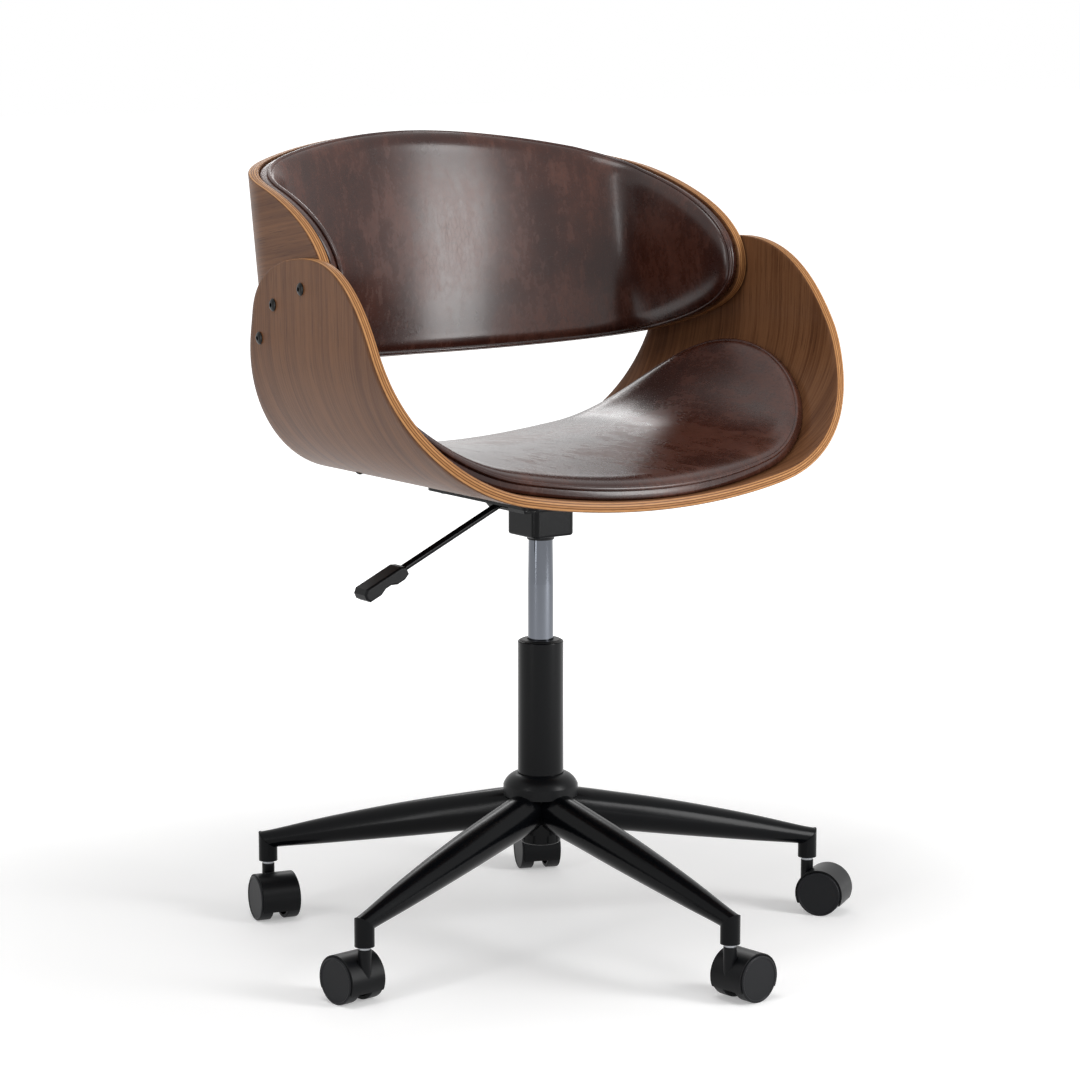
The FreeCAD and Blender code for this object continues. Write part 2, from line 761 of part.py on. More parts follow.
def make_gas_lift():
    groove = tube_floor - 1.9
    rod_top = piston_bottom + d.piston_height + 4
    turned("piston_rod", [
        (0, foot_bottom + 0.6), (rod_radius - 1, foot_bottom + 0.6), (rod_radius - 1, groove),
        (rod_radius - 1, groove + 1.3), (rod_radius, groove + 1.3), (rod_radius, bumper_top + 0.2),
        (rod_radius + 4, bumper_top + 0.2), (rod_radius + 4, bumper_top + 3), (rod_radius, bumper_top + 3),
        (rod_radius, rod_top - 1), (rod_radius - 1, rod_top), (0, rod_top)])
    turned("retaining_clip", [(rod_radius - 1 + d.press_gap, groove), (rod_radius + 3, groove),
                              (rod_radius + 3, groove + 1.2), (rod_radius - 1 + d.press_gap, groove + 1.2)])
    edge = chamber_radius - d.slide_clearance
    groove_low = piston_bottom + 3.5
    turned("piston", [(rod_radius + d.press_gap, piston_bottom), (edge, piston_bottom), (edge, groove_low),
                      (edge - 1.5, groove_low), (edge - 1.5, groove_low + 3), (edge, groove_low + 3),
                      (edge, piston_bottom + d.piston_height),
                      (rod_radius + d.press_gap, piston_bottom + d.piston_height)])
    valve = d.valve_diameter / 2
    guide = rod_radius + d.running_gap
    bore = valve + d.running_gap
    turned("gas_cylinder", [
        (guide, gas_bottom), (gas_radius - 1, gas_bottom), (gas_radius, gas_bottom + 1),
        (gas_radius, gas_shoulder), (gas_tip, d.gas_top), (bore, d.gas_top), (bore, chamber_top),
        (chamber_radius, chamber_top), (chamber_radius, chamber_bottom), (guide, chamber_bottom)])
    pin_top = d.gas_top + d.valve_proud
    pin_foot = pin_top - d.valve_length
    turned("valve_pin", [(0, pin_foot), (valve, pin_foot), (valve, pin_top - 1), (valve - 1, pin_top),
                         (0, pin_top)])


# %% Seat mechanism
def make_mechanism():
    bush = d.bush_diameter / 2
    flare_top = d.bush_bottom + d.bush_flare
    bush_top = d.gas_top - 1
    turned("taper_bush", [(gas_width_at(d.bush_bottom), d.bush_bottom), (gas_radius + 0.6, d.bush_bottom),
                          (bush, flare_top), (bush, bush_top), (gas_width_at(bush_top), bush_top)])
    casing = new_body("mechanism_casing")
    corners = rectangle_corners(d.casing_side, d.casing_side, d.casing_corner)
    pad_on(casing, "casing_block", "XY_Plane", d.casing_bottom, lambda s: closed_outline(s, corners),
           d.pan_bottom - d.casing_bottom)
    pocket_in(casing, "casing_bore", "XY_Plane", d.casing_bottom - 1,
              lambda s: circle_in(s, bush + d.press_gap), d.pan_bottom, reverse=True)
    doc.recompute()
    floor = float(d.casing_bottom) + 0.1
    longest = float(d.casing_side) * 0.9
    rounded(casing, "casing_rounding", d.casing_edge,
            lambda edge: edge.BoundBox.ZMax < floor and edge.BoundBox.DiagonalLength < longest
            and math.hypot(edge.CenterOfMass.x, edge.CenterOfMass.y) > float(bush) + 2)
    keep(casing, "mechanism_casing")
    make_seat_plate()


def screw_places():
    return [(sx, sy) for sx in (-1, 1) for sy in (-1, 1)]


def make_seat_plate():
    """Pressed plate: a flat flange under the shell and a pan that drops to the casing."""
    bush = d.bush_diameter / 2
    plate = new_body("seat_plate")
    flange_low = d.plate_top - d.plate_thickness
    pan_top_width = d.pan_width + d.pan_flare * 2
    pan_top_depth = d.pan_depth + d.pan_flare * 2
    shape = rectangle_corners(d.plate_width, d.plate_depth, d.plate_corner)
    pad_on(plate, "flange", "XY_Plane", flange_low, lambda s: closed_outline(s, shape), d.plate_thickness)
    loft_between(plate, "pan", "AdditiveLoft", d.pan_bottom, rectangle_corners(d.pan_width, d.pan_depth),
                 flange_low + 0.5, rectangle_corners(pan_top_width, pan_top_depth))
    wall = d.plate_thickness * 2
    loft_between(plate, "pan_hollow", "SubtractiveLoft", d.pan_bottom + d.plate_thickness,
                 rectangle_corners(d.pan_width - wall, d.pan_depth - wall), d.plate_top + 1,
                 rectangle_corners(pan_top_width - wall, pan_top_depth - wall))

    def holes(sketch):
        for sx, sy in screw_places():
            circle_in(sketch, d.screw_diameter / 2 + 0.3, d.screw_pitch_x / 2 * sx, d.screw_pitch_y / 2 * sy)
    pocket_in(plate, "screw_holes", "XY_Plane", d.pan_bottom, holes, d.plate_top, reverse=True)
    pocket_in(plate, "bush_hole", "XY_Plane", d.pan_bottom - 1,
              lambda s: circle_in(s, bush + d.press_gap), d.plate_thickness + 3, reverse=True)
    half = d.lever_diameter / 2 + 2
    far = pan_top_width / 2 + 14
    near = d.pan_width / 2 - 8
    slot = [(-far, -half), (-near, -half), (-near, half), (-far, half)]
    pocket_in(plate, "lever_slot", "XY_Plane", d.pan_bottom + d.plate_thickness + 0.2,
              lambda s: closed_outline(s, slot), d.plate_top, reverse=True)
    ear_in = d.lever_diameter / 2 + 1
    ear_top = d.lever_pivot_height + 3.6
    pan_floor = d.pan_bottom + d.plate_thickness
    for side, word in ((1, "left"), (-1, "right")):
        low = ear_in * side
        high = (ear_in + d.ear_thickness) * side
        px = d.lever_pivot_x
        ear = [(px - 4, low), (px + 5, low), (px + 5, high), (px - 4, high)]
        pad_on(plate, "ear_" + word, "XY_Plane", pan_floor - 1, lambda s, e=ear: closed_outline(s, e),
               ear_top - pan_floor + 1)
    pocket_in(plate, "pin_hole", "XZ_Plane", 0,
              lambda s: circle_in(s, d.pin_diameter / 2 + d.press_gap, d.lever_pivot_x, d.lever_pivot_height),
              (ear_in + d.ear_thickness + 1) * 2, middle=True)
    keep(plate, "seat_plate")


# %% Release lever
def make_lever():
    radius = d.lever_diameter / 2
    px = d.lever_pivot_x
    pz = d.lever_pivot_height
    bar_low = d.gas_top + d.valve_proud + d.lever_button_gap
    bar_start = px - radius
    bar = block("lever_bar", d.lever_bar_length + radius, d.lever_diameter, pz + d.lever_bar_rise - bar_low,
                bar_start, -radius, bar_low)
    rod = cylinder("lever_rod", radius, d.lever_length, px, 0, pz, (Vector(0, -1, 0), d.lever_droop + 90))
    hole = cylinder("lever_hole", d.pin_diameter / 2 + d.running_gap, d.lever_diameter * 2,
                    px, d.lever_diameter, pz, (ALONG_Y, 90))
    lever = minus("lever_cut", fused("lever_stock", [bar, rod]), [hole])
    keep(lever, "release_lever")
    half_pin = d.lever_diameter / 2 + 1 + d.ear_thickness + 0.8
    pin = cylinder("lever_pin_rod", d.pin_diameter / 2, half_pin * 2, px, half_pin, pz, (ALONG_Y, 90))
    keep(pin, "lever_pin")


def make_lever_grip():
    """Paddle on the lever's lower end, hollowed below for a finger."""
    length = d.grip_length
    height = d.grip_height
    grip = new_body("lever_grip")
    side = [(0, height * 0.2), (length * 0.12, 0), (length * 0.3, 0), (length * 0.42, height * 0.22),
            (length * 0.55, height * 0.22), (length * 0.68, 0), (length * 0.94, 0), (length, height * 0.3),
            (length, height * 0.7), (length * 0.92, height), (length * 0.1, height), (0, height * 0.8)]
    pad_on(grip, "grip_block", "XZ_Plane", 0, lambda s: closed_outline(s, side), d.grip_width, middle=True)
    doc.recompute()
    rounded(grip, "grip_rounding", height * 0.16, lambda edge: edge.BoundBox.YLength < 0.01)
    bore_depth = d.grip_length * 0.55
    pocket_in(grip, "grip_bore", "YZ_Plane", -1,
              lambda s: circle_in(s, d.lever_diameter / 2 + d.press_gap, 0, height / 2),
              bore_depth + 1, reverse=True)
    keep(grip, "lever_grip")
    reach = d.lever_length - bore_depth + 1
    drop = d.lever_droop
    grip.Placement = Placement(Vector(0, 0, 0), Rotation(180, float(drop), 0))
    axis_x = d.lever_pivot_x - reach * cosine(drop)
    axis_z = d.lever_pivot_height - reach * sine(drop)
    grip.setExpression("Placement.Base.x", (axis_x + height / 2 * sine(drop)).text)
    grip.setExpression("Placement.Base.z", (axis_z - height / 2 * cosine(drop)).text)


# %% Bent sheets
class Bend:
    """Outer line of half a bent sheet: a wide arc, a tight arc, then a straight run.

    spread is the distance from the middle of the sheet to the line of the straight run."""

    def __init__(self, wide, tight, spread, end):
        self.wide = wide
        self.tight = tight
        self.end = end
        self.turn = end - math.acos((spread - tight + wide * math.cos(end)) / (wide - tight))
        self.wide_run = wide * self.turn
        self.tight_run = tight * (end - self.turn)

    def at(self, run):
        """Sideways distance, rise and direction after a run along the sheet from its middle."""
        first = min(run, self.wide_run) / self.wide
        second = self.turn + min(max(run - self.wide_run, 0.0), self.tight_run) / self.tight
        straight = max(run - self.wide_run - self.tight_run, 0.0)
        side = self.wide * math.sin(first)
        rise = self.wide * (1 - math.cos(first))
        if run > self.wide_run:
            side += self.tight * (math.sin(second) - math.sin(self.turn))
            rise += self.tight * (math.cos(self.turn) - math.cos(second))
            first = second
        return side + straight * math.cos(self.end), rise + straight * math.sin(self.end), first


def bezier(points, share):
    """Place on a four-point curve."""
    rest = 1 - share
    weights = (rest ** 3, 3 * rest * rest * share, 3 * rest * share * share, share ** 3)
    return [sum(w * p[k] for w, p in zip(weights, points)) for k in (0, 1)]


def edge_at(curves, run):
    """Second coordinate of a run of curves where the first one equals run."""
    for points in curves:
        low = min(points[0][0], points[3][0])
        high = max(points[0][0], points[3][0])
        if low - 1e-6 <= run <= high + 1e-6:
            rising = points[3][0] > points[0][0]
            start, stop = 0.0, 1.0
            for step in range(40):
                middle = (start + stop) / 2
                if (bezier(points, middle)[0] < run) == rising:
                    start = middle
                else:
                    stop = middle
            return bezier(points, (start + stop) / 2)[1]
    return curves[-1][3][1]


def lofted(sections):
    wires = [Part.Wire(edges) for edges in sections]
    shape = Part.makeLoft(wires, True, False)
    if shape.Volume < 0:
        shape = Part.makeLoft(wires[::-1], True, False)
    return shape


ply = float(d.ply_thickness)
slope = float(d.seat_slope)
toe = float(d.arm_toe_in)
recline = math.radians(float(d.back_recline))
arm_end = math.pi / 2 - math.atan(toe * math.sin(recline) / (math.cos(recline) + slope * math.sin(recline)))
seat_bend = Bend(float(d.seat_bottom_radius), float(d.seat_bend_radius), float(d.arm_spread), arm_end)
seat_run = float(d.seat_half_strip)


def seat_point(run, y, depth):
    """Point of the seat sheet at a signed run and a y; depth goes inwards from the outer face."""
    side, rise, angle = seat_bend.at(abs(run))
    toe_share = 1 - toe * y / float(d.arm_spread)
    x = side * toe_share - depth * math.sin(angle)
    z = float(d.seat_underside) + rise + depth * math.cos(angle) - slope * y
    return Vector(math.copysign(x, run), y, z)


def seat_front_edges():
    front = -float(d.seat_front)
    tip = (seat_run, float(d.arm_top_offset))
    waist = (float(d.waist_strip), -float(d.waist_front))
    return [[(0, front), (seat_run * 0.46, front), (seat_run * 0.525, waist[1] * 1.385), waist],
            [waist, ((waist[0] + seat_run) / 2, waist[1] * 0.77), (seat_run, tip[1] - seat_run * 0.16), tip]]


def seat_rear_edges():
    rear = float(d.seat_rear)
    tip = (seat_run, float(d.arm_top_offset))
    corner = (float(d.shoulder_strip), float(d.shoulder_rear))
    return [[tip, (seat_run, tip[1] + seat_run * 0.15), (seat_run * 0.96, corner[1] * 0.913), corner],
            [corner, (corner[0] * 0.61, corner[1] * 1.275), (seat_run * 0.16, rear), (0, rear)]]


def stations(half_run, count, last):
    """Signed runs along a strip, closer together towards its rounded ends."""
    angles = [last * (2.0 * k / (count - 1) - 1) for k in range(count)]
    return [half_run * math.sin(math.radians(angle)) for angle in angles]


def drilled(shape, holes):
    for start, axis, radius, depth in holes:
        shape = shape.cut(Part.makeCylinder(radius, depth, start, axis))
    return shape


def seat_shell_blank():
    sections = []
    for run in stations(seat_run, 41, 86.5):
        front = edge_at(seat_front_edges(), abs(run))
        rear = edge_at(seat_rear_edges(), abs(run))
        corners = [seat_point(run, front, 0), seat_point(run, rear, 0),
                   seat_point(run, rear, ply), seat_point(run, front, ply)]
        sections.append([Part.LineSegment(corners[k], corners[(k + 1) % 4]).toShape() for k in range(4)])
    return lofted(sections)


def cushion_section(low, high, normal, border):
    """Closed section of an upholstered pad: base, border, welt, shoulders and crown."""
    across = high - low
    width = across.Length
    along = across / width
    fade = min(1.0, width / 140.0)
    run = min(float(d.pad_shoulder_run), width * 0.3)
    welt = float(d.welt_height)
    bulge = float(d.welt_bulge)
    rise = float(d.pad_shoulder) * fade
    crown = float(d.pad_crown) * fade

    def at(offset, height, mirrored):
        base = high - along * offset if mirrored else low + along * offset
        return base + normal * height
    edges = [Part.LineSegment(low, high).toShape()]
    for mirrored in (True, False):
        side = [at(0, 0, mirrored), at(0, border, mirrored), at(-bulge, border + welt / 2, mirrored),
                at(0, border + welt, mirrored), at(run * 0.32, border + welt + rise * 0.72, mirrored),
                at(run, border + welt + rise, mirrored)]
        pieces = [Part.LineSegment(side[0], side[1]).toShape(),
                  Part.Arc(side[1], side[2], side[3]).toShape(),
                  Part.Arc(side[3], side[4], side[5]).toShape()]
        top = (low + high) / 2 + normal * (border + welt + rise + crown)
        if mirrored:
            edges += pieces
            edges.append(Part.Arc(side[5], top, at(run, border + welt + rise, False)).toShape())
        else:
            edges += [Part.Arc(side[5], side[4], side[3]).toShape(),
                      Part.Arc(side[3], side[2], side[1]).toShape(),
                      Part.LineSegment(side[1], side[0]).toShape()]
    return edges


def make_seat_pad():
    half_run = float(d.pad_half_strip)
    half_depth = float(d.pad_half_depth)
    middle = -float(d.pad_offset)
    lift = ply + float(d.pad_gap)
    sections = []
    for run in stations(half_run, 35, 85.0):
        reach = half_depth * math.sqrt(1 - (run / half_run) ** 2)
        angle = seat_bend.at(abs(run))[2]
        normal = Vector(-math.copysign(math.sin(angle), run), 0, math.cos(angle))
        low = seat_point(run, middle - reach, lift)
        high = seat_point(run, middle + reach, lift)
        sections.append(cushion_section(low, high, normal, float(d.pad_border)))
    bore = float(d.pad_screw_diameter) / 2 + float(d.press_gap)
    depth = float(d.pad_screw_bite) + 1
    holes = [(along(start, axis, lift - 1), axis, bore, depth + 1) for start, axis in pad_screw_places()]
    feature("seat_pad", drilled(lofted(sections), holes))


# %% Bent back
back_origin = Vector(0, float(d.back_rear), float(d.back_height))
forward = Vector(0, -math.cos(recline), math.sin(recline))
upward = Vector(0, math.sin(recline), math.cos(recline))
arm_inner = seat_point(seat_run * 0.9, 0, ply)
arm_rise = (seat_point(seat_run * 0.95, 0, ply) - arm_inner).normalize()
arm_run = (seat_point(seat_run * 0.9, 50, ply) - arm_inner).normalize()
arm_normal = arm_run.cross(arm_rise).normalize()
facing = math.hypot(arm_normal.x, arm_normal.dot(forward))
back_end = math.atan2(arm_normal.x, -arm_normal.dot(forward))
back_spread = arm_normal.dot(arm_inner - back_origin) / facing - float(d.back_clearance)
back_bend = Bend(float(d.back_radius), float(d.back_bend_radius), back_spread, back_end)
back_run = float(d.back_half_strip)


def back_point(run, up, depth):
    """Point of the back sheet at a signed run and a height along it; depth goes towards the sitter."""
    side, rise, angle = back_bend.at(abs(run))
    x = side - depth * math.sin(angle)
    place = back_origin + forward * (rise + depth * math.cos(angle)) + upward * up
    return Vector(math.copysign(x, run), place.y, place.z)


def back_edges(run, share):
    """Lower and upper edge of the back at a run, with the outline drawn in about its tip by share."""
    tip = float(d.back_tip)
    crest = float(d.back_crest)
    foot = -float(d.back_foot)
    top = [(0, crest), (back_run * 0.42, crest), (back_run, tip + back_run * 0.195), (back_run, tip)]
    low = [(0, foot), (back_run * 0.863, foot * 1.25), (back_run, tip - back_run * 0.126), (back_run, tip)]
    place = abs(run) / share[0]
    return (tip + (edge_at([low], place) - tip) * share[1], tip + (edge_at([top], place) - tip) * share[2])


def back_shell_blank():
    sections = []
    for run in stations(back_run, 41, 86.0):
        low, high = back_edges(run, (1, 1, 1))
        corners = [back_point(run, low, 0), back_point(run, high, 0), back_point(run, high, ply),
                   back_point(run, low, ply)]
        sections.append([Part.LineSegment(corners[k], corners[(k + 1) % 4]).toShape() for k in range(4)])
    return lofted(sections)


def make_back_pad():
    inset = float(d.back_pad_inset)
    share = (1 - inset / back_run, 1 - inset / float(d.back_tip + d.back_foot),
             1 - inset / float(d.back_crest - d.back_tip))
    lift = ply + float(d.pad_gap)
    sections = []
    for run in stations(back_run * share[0], 35, 84.0):
        low, high = back_edges(run, share)
        angle = back_bend.at(abs(run))[2]
        normal = forward * math.cos(angle) - Vector(math.copysign(math.sin(angle), run), 0, 0)
        sections.append(cushion_section(back_point(run, low, lift), back_point(run, high, lift), normal,
                                        float(d.back_pad_border)))
    feature("back_pad", lofted(sections))


# %% Bolts through the arms
# Each place is given from the back's rear line: forward along the arm, and up along the back.
bolt_lines = ((d.bolt_1_forward, d.bolt_1_up),
              (d.bolt_2_forward, d.bolt_2_up),
              (d.bolt_3_forward, d.bolt_3_up))


def arm_place(side, y, z):
    """Point of an arm's outer face at a y and a height, with the outward direction there."""
    low, high = seat_run / 2, seat_run
    for step in range(40):
        middle = (low + high) / 2
        if seat_point(middle, y, 0).z < z:
            low = middle
        else:
            high = middle
    point = seat_point(low, y, 0)
    outward = (seat_point(low, y + 1, 0) - point).cross(seat_point(low + 1, y, 0) - point)
    outward.normalize()
    return Vector(point.x * side, point.y, point.z), Vector(outward.x * side, outward.y, outward.z)


def bolt_places():
    found = []
    for side in (-1, 1):
        for ahead, up in bolt_lines:
            near = back_origin + forward * float(ahead) + upward * float(up)
            found.append(arm_place(side, near.y, near.z))
    return found


def along(start, axis, distance):
    return start + axis * distance


def make_arm_bolts():
    head = float(d.bolt_head_diameter) / 2
    dome = float(d.bolt_head_height)
    shank = float(d.bolt_diameter) / 2
    seat = float(d.bolt_seat_gap)
    length = ply + float(d.back_clearance) + float(d.insert_depth) - 0.5
    bolts = []
    rim = Vector(head, 0, seat + 0.5)
    lip = Vector(shank * 0.8, 0, dome)
    crown = Part.Arc(rim, Vector(head * 0.72, 0, dome * 0.8), lip).toShape()
    below = [Vector(0, 0, -length), Vector(shank, 0, -length), Vector(shank, 0, seat),
             Vector(head, 0, seat), rim]
    inside = [lip, Vector(shank * 0.7, 0, dome - 1.8), Vector(0, 0, dome - 1.8), below[0]]
    lines = [Part.LineSegment(a, b).toShape() for run in (below, inside) for a, b in zip(run, run[1:])]
    profile = Part.Wire(lines[:4] + [crown] + lines[4:])
    for start, axis in bolt_places():
        bolt = Part.Face(profile).revolve(Vector(0, 0, 0), Vector(0, 0, 1), 360)
        bolt.Placement = Placement(start, Rotation(Vector(0, 0, 1), axis))
        bolts.append(bolt)
    feature("arm_bolts", Part.makeCompound(bolts))


def make_back_inserts():
    outer = float(d.insert_diameter) / 2
    inner = float(d.bolt_diameter) / 2 + float(d.press_gap)
    depth = float(d.insert_depth)
    sleeves = []
    for start, axis in bolt_places():
        mouth = along(start, axis, -(ply + float(d.back_clearance) + float(d.insert_sink)))
        sleeve = Part.makeCylinder(outer, depth, mouth, -axis)
        sleeves.append(sleeve.cut(Part.makeCylinder(inner, depth * 3, along(mouth, axis, depth), -axis)))
    feature("back_inserts", Part.makeCompound(sleeves))


def make_back_shell():
    outer = float(d.insert_diameter) / 2 + float(d.press_gap)
    depth = float(d.insert_depth)
    holes = []
    for start, axis in bolt_places():
        mouth = along(start, axis, -(ply + float(d.back_clearance) + float(d.insert_sink)))
        holes.append((along(mouth, axis, 4), -axis, outer, depth + 4.05))
    feature("back_shell", drilled(back_shell_blank(), holes))


# %% Plate screws and spacers under the seat
def plate_screw_points():
    return [(float(d.screw_pitch_x) / 2 * sx, float(d.screw_pitch_y) / 2 * sy) for sx, sy in screw_places()]


def underside_at(x, y):
    """Height of the shell's underside over a point of its wide arc."""
    turn = math.asin(x / (1 - toe * y / float(d.arm_spread)) / seat_bend.wide)
    return float(d.seat_underside) + seat_bend.wide * (1 - math.cos(turn)) - slope * y


def make_plate_fixings():
    """Screws, spacers and threaded inserts that hold the plate to the shell."""
    shell = seat_shell_blank()
    shank = float(d.screw_diameter) / 2
    top = float(d.plate_top)
    low = top - float(d.plate_thickness)
    head = float(d.screw_head_diameter) / 2
    head_height = float(d.screw_head_height)
    insert = float(d.insert_diameter) / 2
    depth = float(d.insert_depth)
    screws, spacers, inserts = [], [], []
    for x, y in plate_screw_points():
        under = underside_at(x, y)
        spacer = Part.makeCylinder(float(d.spacer_diameter) / 2, under - top + 4, Vector(x, y, top))
        spacer = spacer.cut(Part.makeCylinder(shank + float(d.screw_clearance), 40, Vector(x, y, top - 10)))
        spacers.append(spacer.cut(shell).Solids[0])
        screw = Part.makeCylinder(shank, under + depth - low, Vector(x, y, low - 1))
        cap = Part.makeCylinder(head, head_height, Vector(x, y, low - head_height))
        rim = [edge for edge in cap.Edges if edge.CenterOfMass.z < low - head_height / 2 and edge.isClosed()]
        screws.append(screw.fuse(cap.makeFillet(1.2, rim)).removeSplitter())
        sleeve = Part.makeCylinder(insert, depth, Vector(x, y, under + float(d.insert_sink)))
        bore = Part.makeCylinder(shank + float(d.press_gap), depth * 3, Vector(x, y, under - depth))
        inserts.append(sleeve.cut(bore))
    feature("plate_screws", Part.makeCompound(screws))
    feature("plate_spacers", Part.makeCompound(spacers))
    feature("plate_inserts", Part.makeCompound(inserts))


def pad_screw_places():
    """Points on the shell's underside, with the direction up into the pad."""
    found = []
    for side in (-1, 1):
        run = float(d.pad_screw_strip) * side
        y = float(d.pad_screw_rear)
        low = seat_point(run, y, 0)
        found.append((low, (seat_point(run, y, ply) - low).normalize()))
    return found


def make_pad_screws():
    shank = float(d.pad_screw_diameter) / 2
    head = float(d.pad_screw_head) / 2
    reach = ply + float(d.pad_gap) + float(d.pad_screw_bite)
    screws = []
    for start, axis in pad_screw_places():
        rim = along(start, axis, -0.1)
        post = Part.makeCylinder(shank, reach, along(start, axis, -1.0), axis)
        cap = Part.makeSphere(head, along(rim, axis, head * 0.7), -axis, 45, 90)
        dome = cap.common(Part.makeCylinder(head * 2, head, along(rim, axis, -head), axis))
        screws.append(post.fuse(dome).removeSplitter())
    feature("pad_screws", Part.makeCompound(screws))


def make_seat_shell():
    insert = float(d.insert_diameter) / 2 + float(d.press_gap)
    bolt = float(d.bolt_diameter + d.bolt_hole_clearance) / 2
    screw = float(d.pad_screw_diameter) / 2 + float(d.screw_clearance)
    sunk = float(d.insert_sink) + float(d.insert_depth)
    holes = [(Vector(x, y, underside_at(x, y) - 6), Vector(0, 0, 1), insert, 6.05 + sunk)
             for x, y in plate_screw_points()]
    holes += [(along(start, axis, 2), -axis, bolt, ply + 6) for start, axis in bolt_places()]
    holes += [(along(start, axis, -2), axis, screw, ply + 6) for start, axis in pad_screw_places()]
    feature("seat_shell", drilled(seat_shell_blank(), holes))


# %% Caster stems
def stem_positions():
    found = []
    for number in range(int(float(d.leg_count))):
        angle = math.radians(float(d.first_leg_angle) + float(leg_step) * number)
        found.append((float(caster_radius) * math.cos(angle), float(caster_radius) * math.sin(angle)))
    return found


def make_stems():
    """Steel stems with a bright collar, each held in its socket by a split ring."""
    shank = float(d.stem_diameter) / 2
    upper = shank + 0.5
    groove = upper - float(d.grip_ring_depth)
    collar = float(d.collar_diameter) / 2
    low = float(d.boss_top - d.stem_depth_in_hood) + 1
    collar_low = float(d.boss_top) + 0.3
    collar_top = float(d.socket_bottom) - 0.05
    top = float(stem_top)
    ring_low = top - 12
    ring_top = ring_low + float(d.grip_ring_height)
    stems, rings = [], []
    for x, y in stem_positions():
        rims = [(0, low + 1), (shank - 1, low), (shank, low + 1), (shank, collar_low), (collar, collar_low),
                (collar, collar_top), (upper, collar_top), (upper, ring_low), (groove, ring_low),
                (groove, ring_top), (upper, ring_top), (upper, top - 1), (upper - 1, top), (0, top)]
        corners = [Vector(x + u, y, z) for u, z in rims]
        profile = Part.Face(Part.makePolygon(corners + corners[:1]))
        stems.append(profile.revolve(Vector(x, y, 0), Vector(0, 0, 1), 360))
        ring = Part.makeCylinder(upper, ring_top - ring_low - 0.1, Vector(x, y, ring_low + 0.05))
        ring = ring.cut(Part.makeCylinder(groove + 0.02, 40, Vector(x, y, ring_low - 10)))
        rings.append(ring.cut(Part.makeBox(upper * 2, 1.5, 40, Vector(x, y - 0.75, ring_low - 10))))
    feature("caster_stems", Part.makeCompound(stems))
    feature("stem_grip_rings", Part.makeCompound(rings))


# %% Build everything
for count in range(1, int(float(d.leg_count)) + 1):
    make_caster(count)
    make_leg(count)
    make_socket(count)
make_stems()
make_hub()
make_hub_cap()
make_column()
make_gas_lift()
make_mechanism()
make_lever()
make_lever_grip()
make_plate_fixings()
make_pad_screws()
make_seat_shell()
make_seat_pad()
make_back_shell()
make_back_pad()
make_arm_bolts()
make_back_inserts()
doc.recompute()

# %% Check and write
faults = []
for item in doc.Objects:
    if "Invalid" in item.State or "Error" in item.State:
        faults.append("%s: %s" % (item.Name, item.State))
for item in parts:
    if item.Shape.isNull() or not item.Shape.isValid() or not item.Shape.Solids:
        faults.append("%s has no good shape" % item.Label)
if faults:
    raise RuntimeError("; ".join(faults))
os.makedirs("parts", exist_ok=True)
for item in parts:
    item.Shape.exportStep("parts/%s.step" % item.Label)
    box = item.Shape.BoundBox
    print("%-22s solids %2d volume %10.1f  x %7.1f %7.1f  y %7.1f %7.1f  z %7.1f %7.1f" % (
        item.Label, len(item.Shape.Solids), item.Shape.Volume, box.XMin, box.XMax, box.YMin, box.YMax,
        box.ZMin, box.ZMax))
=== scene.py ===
# %% [markdown]
# # A bent-ply swivel chair
# The engineering model of the chair is loaded first. Steel, plastic and fasteners keep their engineering
# shape and get a finish here. The two bent sheets and the two leather pads are modelled again, because
# their looks come from rounded veneer edges, stretched leather and piping.

# %% Load the frame
import bpy
import json
import math
import numpy as np
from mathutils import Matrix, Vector


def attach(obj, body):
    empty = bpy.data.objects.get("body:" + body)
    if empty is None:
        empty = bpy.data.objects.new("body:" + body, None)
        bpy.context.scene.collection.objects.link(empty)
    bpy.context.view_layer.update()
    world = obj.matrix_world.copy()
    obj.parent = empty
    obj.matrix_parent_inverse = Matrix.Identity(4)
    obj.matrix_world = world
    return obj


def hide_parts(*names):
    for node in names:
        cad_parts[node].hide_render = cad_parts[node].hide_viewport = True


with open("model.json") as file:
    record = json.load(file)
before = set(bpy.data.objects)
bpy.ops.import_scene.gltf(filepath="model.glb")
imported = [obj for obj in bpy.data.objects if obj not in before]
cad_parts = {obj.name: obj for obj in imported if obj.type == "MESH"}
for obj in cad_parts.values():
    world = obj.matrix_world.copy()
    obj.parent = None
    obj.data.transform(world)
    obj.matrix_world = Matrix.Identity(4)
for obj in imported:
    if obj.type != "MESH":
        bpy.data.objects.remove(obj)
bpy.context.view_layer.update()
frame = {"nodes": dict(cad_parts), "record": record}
nodes = frame["nodes"]
print("pieces loaded:", len(nodes))

# %% [markdown]
# ## Shader maths
# A surface's colour is worked out by small sums. Wrapping a socket in a class lets those sums be written as
# plain expressions: each operator adds one Math node. `Finish` holds one material and adds its other nodes.

# %% Shader helpers
class Flow:
    """A number that changes over a surface."""

    def __init__(self, finish, socket):
        self.finish = finish
        self.socket = socket

    def maths(self, operation, first, second=0.0):
        return self.finish.add("ShaderNodeMath", {"operation": operation}, {0: first, 1: second})

    def __add__(self, other):
        return self.maths("ADD", self, other)

    def __sub__(self, other):
        return self.maths("SUBTRACT", self, other)

    def __mul__(self, other):
        return self.maths("MULTIPLY", self, other)

    def __rsub__(self, other):
        return self.maths("SUBTRACT", other, self)

    __radd__ = __add__
    __rmul__ = __mul__


